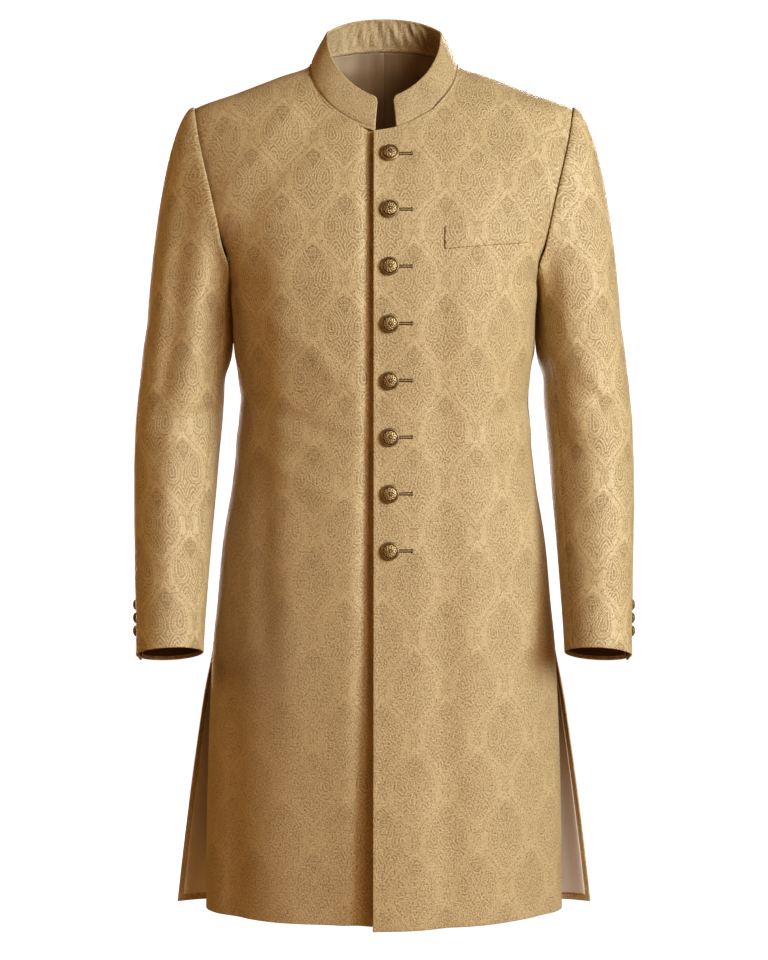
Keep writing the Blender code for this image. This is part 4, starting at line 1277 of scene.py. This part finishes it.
def make_welt(finishes):
    """The breast pocket's welt, a flat strip lying on the wearer's left front."""
    up, along = np.meshgrid(*(np.linspace(0, 1, count) for count in WELT_GRID), indexing="ij")
    x = WELT_NEAR + (WELT_FAR - WELT_NEAR) * along
    level = WELT_LOW + WELT_RISE * along + WELT_HEIGHT * up
    points, normals = front_surface(x, level)
    u = way_round("front", points[..., 0], points[..., 2])
    uv = np.stack([u, level - UNDERARM], axis=-1) + MAP_SHIFTS["front_left"]
    outer = tucked_all_round(points + normals * (WELT_OFF + WELT_WALL), WELT_WALL / 2)
    mark = plainness("left", level)
    cloth_shell("cloth", "pocket_welt", outer, normals, WELT_WALL, uv, finishes, mark=mark)


def make_threads(name, lines, radius, sides, finish):
    """Many short threads in one mesh, each a bent tube through its own points, thinner at its ends."""
    points = []
    faces = []
    turns = 2 * math.pi * np.arange(sides)[:, None] / sides
    for line in lines:
        along = unit(np.gradient(line, axis=0))
        side = unit(np.cross(along, THREAD_ASIDE))[:, None]
        other = np.cross(along, side[:, 0])[:, None]
        thin = np.sin(np.linspace(THREAD_END, math.pi - THREAD_END, len(line))) ** 0.5
        rim = (side * np.cos(turns) + other * np.sin(turns)) * radius * thin[:, None, None]
        start = len(points)
        points.extend((line[:, None] + rim).reshape(-1, 3))
        faces += ring_faces(start, len(line), sides)
        faces.append(range(start + sides - 1, start - 1, -1))
        faces.append(range(len(points) - sides, len(points)))
    return new_piece(mesh_of(name, points, faces), "gold_brocade", finish)


def on_front(x, level, out):
    """Points on the over front at places across and heights, a distance out from it."""
    x, level, out = np.broadcast_arrays(x, level, out)
    point, normal = front_surface(x, level)
    return point + normal * out[:, None]


def button_levels():
    """Heights of the front buttons, from the top."""
    pitch = (LAST_BUTTON - FIRST_BUTTON) / (FRONT_BUTTONS - 1)
    return [FIRST_BUTTON + i * pitch for i in range(FRONT_BUTTONS)]


def make_buttonholes(thread, purl, slit):
    """A worked buttonhole beside each button: a dark cord along the slit, painted shade for its opening,
    a purled edge on both sides, stitches set across them and a bar at the end."""
    run = np.linspace(HOLE_START, HOLE_END, HOLE_POINTS)
    stitches = []
    edges = []
    slit_shades = []
    for i, level in enumerate(button_levels()):
        for side in (1, -1):
            z = level + side * np.linspace(*HOLE_STITCH_SPAN, len(STITCH_RISE))
            for k in range(HOLE_STITCHES):
                x = HOLE_START + (HOLE_END - HOLE_START) * (k + 0.5) / HOLE_STITCHES
                sway = STITCH_SWAY * math.sin(STITCH_SWAY_TURN * k + i) * np.arange(len(STITCH_RISE))
                stitches.append(on_front(x + sway, z, STITCH_RISE))
            edges.append(on_front(run, level + side * PURL_APART, FLAT_RISE))
        for k in range(HOLE_END_TURNS):
            turn = 2 * math.pi * (np.linspace(0, HOLE_END_COVER, len(STITCH_RISE)) + k) / HOLE_END_TURNS
            x = HOLE_END + HOLE_END_WIDE * np.cos(turn)
            stitches.append(on_front(x, level + HOLE_END_TALL * np.sin(turn), FLAT_RISE))
        # A dark cord along the slit: painted shade for its opening
        slit_shades.append(on_front(run, level, SLIT_RISE))
    return [
        make_threads("thread_buttonholes", stitches, *STITCH, thread),
        make_threads("purl_buttonholes", edges, *PURL, purl),
        make_threads("slit_shade_buttonholes", slit_shades, *SLIT_CORD, slit),
    ]


def make_collar_stitches(thread):
    """A row of fine running stitches below the top edge of the collar's inner side, behind."""
    line, _ = neck_loop()
    behind = line[:, 1] > COLLAR_STITCH_BEHIND
    path = line[behind]
    inward = COLLAR_WALL + COLLAR_CLEARANCE - COLLAR_STITCH_PROUD
    path = path + collar_rise(line)[behind] * COLLAR_STITCH_SHARE - path * LEVEL / NECK_HALF_WIDTH * inward
    run = run_along(path)
    lines = []
    for k in range(int(run[-1] / COLLAR_STITCH)):
        start = k * COLLAR_STITCH + COLLAR_STITCH_START
        at = np.linspace(start, (k + COLLAR_STITCH_LONG) * COLLAR_STITCH, COLLAR_STITCH_POINTS)
        place = points_at(at, run, path)
        sunk = COLLAR_STITCH_SUNK * np.sin(np.linspace(0, math.pi, COLLAR_STITCH_POINTS))
        lines.append(place - unit(place * LEVEL) * sunk[:, None])
    return make_threads("thread_collar_stitches", lines, *COLLAR_CORD, thread)


class Field:
    """A number worked out for every point of a surface, built up as a chain of maths nodes."""

    def __init__(self, tree, socket):
        self.tree = tree
        self.socket = socket

    def math(self, kind, *others, clamp=False):
        node = self.tree.nodes.new("ShaderNodeMath")
        node.operation = kind
        node.use_clamp = clamp
        for socket, value in zip(node.inputs, (self, *others)):
            feed(self.tree, socket, value)
        return Field(self.tree, node.outputs[0])

    def __add__(self, other):
        return self.math("ADD", other)

    def __sub__(self, other):
        return self.math("SUBTRACT", other)

    def __mul__(self, other):
        return self.math("MULTIPLY", other)

    def abs(self):
        return self.math("ABSOLUTE")

    def min(self, other):
        return self.math("MINIMUM", other)

    def max(self, other):
        return self.math("MAXIMUM", other)

    def or_else(self, other, keep):
        """This number where keep is 1, the other where it is 0."""
        return (self - other) * keep + other

    def wrap(self, half):
        """The number brought back into one repeat, from -half to half."""
        return self.math("WRAP", half, -half)

    def gained(self, gain, start):
        return self * gain + start

    def ramp(self, low, high):
        """0 at low and 1 at high, straight between."""
        return self.math("MULTIPLY_ADD", 1 / (high - low), -low / (high - low), clamp=True)

    def within(self, soft=0.3):
        """1 below nought and 0 above it, with a soft edge."""
        return self.ramp(soft, -soft)

    def line(self, wide=LINE_WIDE, soft=0.28):
        """1 within half of wide of nought, falling off softly."""
        return self.abs().ramp(wide / 2 + soft, wide / 2 - soft)

    def stripes(self, shift=0.0):
        """The figure's lines at their pitch."""
        return (self + shift).wrap(LINE_PITCH / 2).line()


def feed(tree, socket, value):
    """Sets a node's input to a constant, or links it to a Field."""
    if isinstance(value, Field):
        tree.links.new(value.socket, socket)
    else:
        socket.default_value = value


def length(x, y):
    return (x * x + y * y).math("SQRT")


def angle(x, y):
    return y.math("ARCTAN2", x)


def draw_brocade(u, v):
    """How light the weave is at each place of the cloth, in millimetres, from 0 to 1.

    Ogee cells stand in half drop. In each stands a dark pointed oval: a palmette on a stem between
    two paisleys, over a fan of nested arches, all in light outline. A lighter band with curling
    lines runs between the ovals, and plain satin vases stand in pairs where the bands meet.
    """
    x = u.wrap(CELL_HALF_WIDE).abs()
    y = v.wrap(CELL_HALF_TALL)
    wave_at = y * (math.pi / CELL_HALF_TALL)
    edge = wave_at.math("COSINE") * (CELL_HALF_WIDE / 2) + CELL_HALF_WIDE / 2
    own = x.math("LESS_THAN", edge)
    slope = wave_at.math("SINE") * (CELL_HALF_WIDE * math.pi / (2 * CELL_HALF_TALL))
    border = ((edge - x) * (slope * slope + 1.0).math("INVERSE_SQRT")).abs()
    x = x.or_else(x * -1.0 + CELL_HALF_WIDE, own)
    y = y.or_else(y - y.math("SIGN") * CELL_HALF_TALL, own)
    fine = LINE_WIDE * 0.8

    # The oval, and how far inside its outline a place is
    above = y.max(0.0)
    below = (y * -1.0).max(0.0)
    half = (above * above * -0.0105 + OVAL_HALF_WIDE) - below * below * 0.0110
    oval_edge = (half - x).min(border - 4.2)
    oval = oval_edge.ramp(-0.6, 0.6)

    # Paisleys: drops that run up to a point bent outwards, one inside the other
    belly_y = y + PAISLEY_DOWN
    tip = belly_y.max(0.0)
    belly_x = (x - PAISLEY_OUT - tip * tip * 0.010).abs()
    sole = (belly_y * -1.0).max(0.0)
    paisley = length(belly_x, sole * 0.8) + tip * tip * 0.0165 - 9.4
    in_paisley = paisley.within()
    doubled = paisley.line().max((paisley + LINE_PITCH).line())
    seed = (paisley + LINE_PITCH * 2.1).line(fine)
    hairs = (y * 1.7 + x * 0.9).math("SINE").ramp(0.1, 0.9)
    between = (paisley + LINE_PITCH * 0.5).line(LINE_PITCH * 0.55)
    drops = doubled.max(seed).max(hairs * between * 0.75) * in_paisley

    # The palmette over them: a pointed heart, dark inside, with a small flower
    top_y = y - PALMETTE_UP
    notches = (top_y * 1.3 + x * 0.9).math("SINE") * 0.5
    lower = x + (top_y * -1.0).max(0.0) * 0.52 - 10.0
    shield = lower.max(top_y + x * 0.62 - 9.0) + notches
    in_shield = shield.within()
    petals = (angle(x, top_y) * 5.0 + 1.57).math("SINE") * 1.2
    flower = (length(x, top_y) + petals - 3.8).line(fine)
    palmette = shield.line().max(flower * in_shield)

    # The fan of nested pointed arches under them, over a small lozenge with a ring
    fan_y = y + FAN_DOWN
    arch_x = x - FAN_OUT
    arch = length(arch_x, fan_y * 0.55) * 0.55 + arch_x.abs() * 0.45 + fan_y.max(0.0) * 0.27
    fan = arch.stripes(LINE_PITCH * 0.2)
    in_fan = (y + 12.0 + x * 0.25).within(0.6)
    lozenge = x + (y + LOZENGE_DOWN).abs() * 0.80 - 6.4
    ring = (length(x, y + LOZENGE_DOWN) - 2.2).line(fine)

    free = in_paisley.max(in_shield) * -1.0 + 1.0
    nested = paisley.min(shield).stripes()
    spaces = fan.or_else(nested, in_fan)
    filling = lozenge.line().max(ring).or_else(spaces, lozenge.within()) * free
    inner = drops.max(palmette).max(filling)
    outline = (oval_edge - 0.4).line()
    scallops = ((y + x) * (math.pi / 2.6)).math("SINE") * 0.45
    edge_line = (oval_edge + 1.7 + scallops).line()

    # The band: vines curling either side of its middle, with small rings between them
    run = y + x * 0.3
    along = run * (math.pi / CURL_PITCH)
    vine = (border - 2.6 + along.math("SINE") * 1.3).line(fine)
    rings = length((run + CURL_PITCH * 0.5).wrap(CURL_PITCH), border - 0.4) - 1.9
    side_vine = (border - 5.6 + along.math("COSINE") * 0.8).line(LINE_WIDE * 0.7)
    band = vine.max(rings.line(fine)).max(side_vine)

    # Vases of plain satin in pairs where the bands meet
    vase_y = y + VASE_DOWN
    sides = (vase_y * 0.40 + 0.9).math("COSINE") * 1.1 + vase_y * 0.08
    vase = length(x - VASE_OUT, vase_y * 0.34) + sides
    satin = (vase - 4.0).within(0.5)
    rim = (vase - 5.2).line(1.0)

    woven = oval * -OVAL_DARK + in_shield * oval * -HEART_DARK + BAND_TONE
    woven = woven + inner.max(outline) * oval * OVAL_LINE_GAIN
    beside = oval * -1.0 + 1.0
    woven = woven + (band * BAND_LINE_GAIN).max(edge_line * EDGE_LINE_GAIN) * beside
    woven = woven - rim * RIM_LINE_LOSS
    return woven.max(satin * VASE_TONE)


class Finish:
    """A material: what its nodes read, and what they give to its shader."""

    def __init__(self, name, **settings):
        self.made = bpy.data.materials.new(name)
        self.made.use_nodes = True
        self.tree = self.made.node_tree
        self.give(**settings)

    def give(self, **settings):
        """Sets the shader's inputs, named with underscores for their spaces."""
        for name, value in settings.items():
            socket = self.tree.nodes["Principled BSDF"].inputs[name.replace("_", " ")]
            feed(self.tree, socket, value)

    def node(self, kind, output, inputs=(), **settings):
        """What a new node gives out, as a Field."""
        node = self.tree.nodes.new("ShaderNode" + kind)
        for name, value in settings.items():
            setattr(node, name, value)
        for name, value in dict(inputs).items():
            feed(self.tree, node.inputs[name], value)
        return Field(self.tree, node.outputs[output])

    def place(self):
        """Where a point lies on the object."""
        return self.node("TexCoord", "Object")

    def cloth(self):
        """Where a point lies in the cut cloth, in metres."""
        return self.node("UVMap", "UV", uv_map="cloth")

    def mark(self):
        return self.node("Attribute", "Fac", attribute_name="mark")

    def noise(self, vector, name):
        scale, detail, rough, stretch = NOISES[name]
        if stretch:
            vector = self.node("Mapping", "Vector", {"Scale": stretch, "Vector": vector})
        inputs = {"Scale": scale, "Detail": detail, "Roughness": rough, "Vector": vector}
        return self.node("TexNoise", "Fac", inputs)

    def mix(self, share, low, high):
        """A colour between two."""
        node = self.tree.nodes.new("ShaderNodeMix")
        node.data_type = "RGBA"
        node.clamp_factor = True
        feed(self.tree, node.inputs["Factor"], share)
        for socket, value in zip([s for s in node.inputs if s.type == "RGBA"], (low, high)):
            feed(self.tree, socket, (*value, 1) if isinstance(value, tuple) else value)
        return next(Field(self.tree, s) for s in node.outputs if s.type == "RGBA")

    def axis(self, vector, name):
        return self.node("SeparateXYZ", name, {0: vector})

    def bump(self, height, name):
        inputs = {"Distance": RELIEFS[name], "Strength": 1.0, "Height": height}
        self.give(Normal=self.node("Bump", "Normal", inputs))


def make_brocade(name):
    """Silk brocade: a light satin figure in ogees on a darker ground, with a fine crepe grain."""
    silk = Finish(name, Specular_IOR_Level=0.40, **SILK_SHEEN)
    cloth = silk.cloth()
    mark = silk.mark()
    sway = silk.noise(cloth, "sway")
    swing = silk.noise(cloth, "swing")
    u = silk.axis(cloth, "X") * MILLIMETRES + (sway - 0.5) * LINE_SWAY
    v = silk.axis(cloth, "Y") * MILLIMETRES + (swing - 0.5) * LINE_SWAY
    drawn = draw_brocade(u, v)
    broken = silk.noise(cloth, "broken").ramp(*BREAK_SPAN).gained(*BREAKS)
    # The mark hides the figure; on the body panels it is painted light, the figure's fade towards the hem
    seen = mark.gained(-MARK_HIDES, 1.0) * broken
    plain = drawn.ramp(VASE_TONE - VASE_EDGE, VASE_TONE).gained(-VASE_GRAIN_LOSS, 1.0)
    grain = silk.noise(cloth, "grain").ramp(*GRAIN_SPAN)
    woven = (grain - 0.5) * plain * mark.gained(MARK_GRAIN, 1.0)
    worn = (silk.noise(cloth, "worn") - 0.5) * WEAR
    share = (drawn - MIDDLE_TONE) * seen + MIDDLE_TONE + woven * GRAIN + worn
    rough = (drawn * seen).gained(*SILK_ROUGH)
    silk.give(Base_Color=silk.mix(share, GROUND, FIGURE), Roughness=rough)
    silk.bump(drawn * seen * FIGURE_RELIEF + woven * GRAIN_RELIEF, "silk")
    return silk.made


def make_satin(name, colour, low_colour):
    """Plain satin lining, its fine warp running down the cloth, changing towards the hem to its low
    colour: on the body's lining that paler, cooler colour is partly painted light.
    """
    satin = Finish(name, Roughness=0.34, Anisotropic=0.5, Specular_IOR_Level=0.5)
    cloth = satin.cloth()
    streak = satin.noise(cloth, "warp")
    cloud = satin.noise(cloth, "cloud")
    # Painted light in part: from the hips down the body's lining is drawn paler and cooler
    depth = satin.axis(satin.place(), "Z").ramp(*LINING_FADE)
    tones = [
        satin.mix(depth, *(tuple(c * tone for c in shade) for shade in (colour, low_colour)))
        for tone in SATIN_TONES
    ]
    share = streak * SATIN_SHARES[0] + cloud * SATIN_SHARES[1]
    satin.give(Base_Color=satin.mix(share, *tones))
    satin.bump(streak, "satin")
    return satin.made


def make_brass(name):
    """Old brass: bright on the raised work, brown in the hollows."""
    brass = Finish(name, Metallic=0.9)
    tarnish = brass.noise(brass.place(), "tarnish")
    high = brass.mark().ramp(0.0, BRASS_FULL) + (tarnish - 0.5) * TARNISH_TONE
    rough = high.gained(*BRASS_ROUGH) + (tarnish - 0.5) * TARNISH_ROUGH
    brass.give(Base_Color=brass.mix(high, BRASS_HOLLOW, BRASS_RAISED), Roughness=rough)
    brass.bump(tarnish, "brass")
    return brass.made


def make_paper(name):
    """White studio paper with a faint tooth, bright of itself."""
    glow = {"Emission_Color": (1, 1, 1, 1), "Emission_Strength": PAPER_GLOW}
    paper = Finish(name, Roughness=0.9, **glow)
    tooth = paper.noise(paper.place(), "tooth")
    paper.give(Base_Color=paper.mix(tooth, *PAPER_TONES))
    paper.bump(tooth, "paper")
    return paper.made


def make_thread(name, colour):
    """Spun silk thread, its ply showing as fine slanting streaks."""
    silk = Finish(name, Roughness=0.62, Specular_IOR_Level=0.2)
    ply = silk.noise(silk.place(), "ply")
    silk.give(Base_Color=silk.mix(ply, tuple(c * PLY_DARK for c in colour), colour))
    silk.bump(ply, "thread")
    return silk.made


def dome_rings(kind):
    """A button's rings as shares of its radius, out from its axis and up from the cloth, and
    whether each is worked: shank and back, rolled rim, then the domed face in even steps."""
    back, rim, face = DOMES[kind]
    rings = [(out, up, False) for out, up in back]
    count, start, span, height, tall = rim
    for k in range(count):
        turn = math.pi * (start + span * k / (count - 1))
        out = RIM_OUT[0] + RIM_OUT[1] * math.cos(turn)
        rings.append((out, height + tall * math.sin(turn), False))
    count, width, height, tall, reach = face
    for k in range(count):
        out = width * (1 - (k + 1) / (count + 1))
        dome = math.cos(out / reach * math.pi / 2) ** DOME_POWER
        rings.append((out, height + tall * dome, True))
    return rings


def boss(out, height, wide):
    return height * math.exp(-((out / wide) ** 4))


def button_relief(out, turns):
    """Raised work: a ring of beads at the rim, crossed scrolls and a boss in the middle."""
    beads = part_of(out, *BEADS) * (0.75 + 0.25 * np.cos(BEAD_COUNT * turns))
    grooves = part_of(out, *GROOVE) + part_of(out, *MOAT)
    inside = ease(0, 0.07, 0.74 - out) * ease(0.16, 0.24, out)
    crossed = [np.abs(np.cos(SCROLL_COUNT * turns + way * SCROLL_LEAN * out)) for way in (1, -1)]
    return beads - grooves + SCROLLS * inside * np.maximum(*crossed) ** 3 + boss(out, *BOSS)


def cuff_relief(out, turns):
    """Raised work of the small buttons: a flower round a boss, and a milled rim."""
    petal = np.abs(np.cos(CUFF_PETAL_COUNT * turns)) ** 0.6
    inside = ease(0, 0.10, 0.48 + 0.18 * petal - out) * ease(0.2, 0.32, out)
    beads = part_of(out, *CUFF_BEADS) * (0.5 + 0.5 * np.cos(CUFF_BEAD_COUNT * turns))
    return beads + CUFF_PETALS * inside * petal + boss(out, *CUFF_BOSS) - part_of(out, *CUFF_MOAT)


def make_button(name, node, place, axis, radius, kind, relief, finish):
    """A round metal button standing on the cloth. Its relief adds to the height of the worked
    rings, as a function of the share out and the turn round."""
    aside = unit(np.cross(axis, (0, 0, 1)))
    other = np.cross(axis, aside)
    sides = BUTTON_SIDES[kind]
    turns = 2 * math.pi * np.arange(sides) / sides
    spokes = np.outer(np.cos(turns), aside) + np.outer(np.sin(turns), other)
    points = [place[None]]
    marks = [[0.0]]
    rings = dome_rings(kind)
    for out, up, worked in rings:
        rise = relief(out, turns) if worked else np.zeros(sides)
        points.append(place + (spokes * out + np.outer(up + rise, axis)) * radius)
        marks.append(rise if worked else np.full(sides, RIM_MARK))
    middle = float(np.mean(relief(0.0, turns)))
    points.append((place + axis * (rings[-1][1] + middle) * radius)[None])
    marks.append([middle])
    points = np.concatenate(points)
    faces = ring_faces(1, len(rings), sides)
    last = len(points) - 1
    for k in range(sides):
        after = (k + 1) % sides
        faces.append((0, 1 + after, 1 + k))
        faces.append((last - sides + k, last - sides + after, last))
    mesh = mesh_of(name, points.tolist(), faces, np.concatenate(marks))
    new_piece(mesh, "antique_brass", finish, node=node)


def make_front_buttons(finish):
    for i, level in enumerate(button_levels()):
        (place,), (normal,) = front_surface([BUTTON_LINE], [level])

        def relief(out, turns, shift=BUTTON_TURN * i):
            return button_relief(out, turns + shift)

        make_button(
            f"button_front_{i + 1}", f"button_{i + 1}", place + normal * BUTTON_OFF, normal,
            BUTTON_RADIUS, "front", relief, finish,
        )


def make_cuff_buttons(side, points, normals, columns, finish):
    """Three small buttons up the outer side of the cuff, beside the back seam."""
    at = column_at(columns, BACK_SEAM_COLUMN + CUFF_BUTTON_COLUMNS)
    order = np.argsort(points[:, at, 2])
    line = points[order, at]
    facing = normals[order, at]
    for i in range(CUFF_BUTTONS):
        level = points[-1, at, 2] + CUFF_BUTTON_LOWEST + i * CUFF_BUTTON_PITCH
        normal = unit(points_at(level, line[:, 2], facing))
        place = points_at(level, line[:, 2], line) + normal * CUFF_BUTTON_SHANK
        if side == "right":
            place, normal = place * MIRROR, normal * MIRROR
        name = f"{side}_{i + 1}"
        make_button(
            "button_cuff_" + name, "cuff_button_" + name, place, normal,
            CUFF_BUTTON_RADIUS, "cuff", cuff_relief, finish,
        )


def place_object(name, data, location):
    thing = bpy.data.objects.new(name, data)
    thing.location = location
    bpy.context.scene.collection.objects.link(thing)
    return thing


def make_studio():
    """A dim warm room with a few soft lamps, the main one at the viewer's right, each a square
    turned to the middle of the coat."""
    scene = bpy.context.scene
    scene.view_settings.view_transform = "Standard"
    world = bpy.data.worlds.new("studio")
    world.use_nodes = True
    world.node_tree.nodes["Background"].inputs["Color"].default_value = (*ROOM, 1)
    scene.world = world
    for name, (at, size, power, colour) in LIGHTS.items():
        lamp = bpy.data.lights.new(name, "AREA")
        lamp.size = size
        lamp.energy = power
        lamp.color = colour
        thing = place_object(name, lamp, at)
        aim = Vector(LIGHT_TARGET) - thing.location
        thing.rotation_euler = aim.to_track_quat("-Z", "Y").to_euler()


def make_backdrop():
    """White paper laid as a floor and swept up all round, far off. It only shows, and adds no light."""
    points = []
    for out, up in BACKDROP:
        for k in range(BACKDROP_SIDES):
            turn = 2 * math.pi * k / BACKDROP_SIDES
            points.append((out * math.cos(turn), out * math.sin(turn), FLOOR + up))
    faces = [range(BACKDROP_SIDES), *ring_faces(0, len(BACKDROP), BACKDROP_SIDES)]
    thing = new_object(mesh_of("backdrop", points, faces), make_paper("backdrop_paper"))
    thing.visible_diffuse = False
    thing.visible_glossy = False
    thing.visible_shadow = False


def make_camera():
    """The photograph's camera: level, in front, its picture shifted down to hold the whole coat."""
    camera = bpy.data.cameras.new("camera")
    camera.lens = LENS
    camera.sensor_width = SENSOR
    camera.shift_y = CAMERA_SHIFT
    thing = place_object("camera", camera, CAMERA_PLACE)
    thing.rotation_euler = (math.pi / 2, 0, 0)
    bpy.context.scene.camera = thing


def main():
    brocade = make_brocade("gold_brocade")
    satin = make_satin("taupe_satin", LINING, LINING_LOW)
    dark = make_satin("sleeve_lining", SLEEVE_LINING, SLEEVE_LINING)
    brass = make_brass("antique_brass")
    for side in ("left", "right"):
        make_front(side, [brocade, satin])
    make_back([brocade, satin])
    for side in ("left", "right"):
        make_lining(side, [satin])
        make_cuff_buttons(side, *make_sleeve(side, [brocade, dark]), brass)
    make_collar([brocade])
    make_welt([brocade])
    make_front_buttons(brass)
    holes = make_buttonholes(
        # The buttonhole thread's near-black is partly painted shade at the stitches' sunk ends
        make_thread("buttonhole_thread", HOLE_THREAD),
        make_thread("purl_thread", PURL_THREAD),
        # The slit's cord is painted shade that stands in for the shadow in the opening, not a thread of
        # its own
        make_thread("slit", SLIT_SHADE),
    )
    stitches = make_collar_stitches(make_thread("collar_thread", COLLAR_THREAD))
    make_studio()
    make_backdrop()
    make_camera()


main()
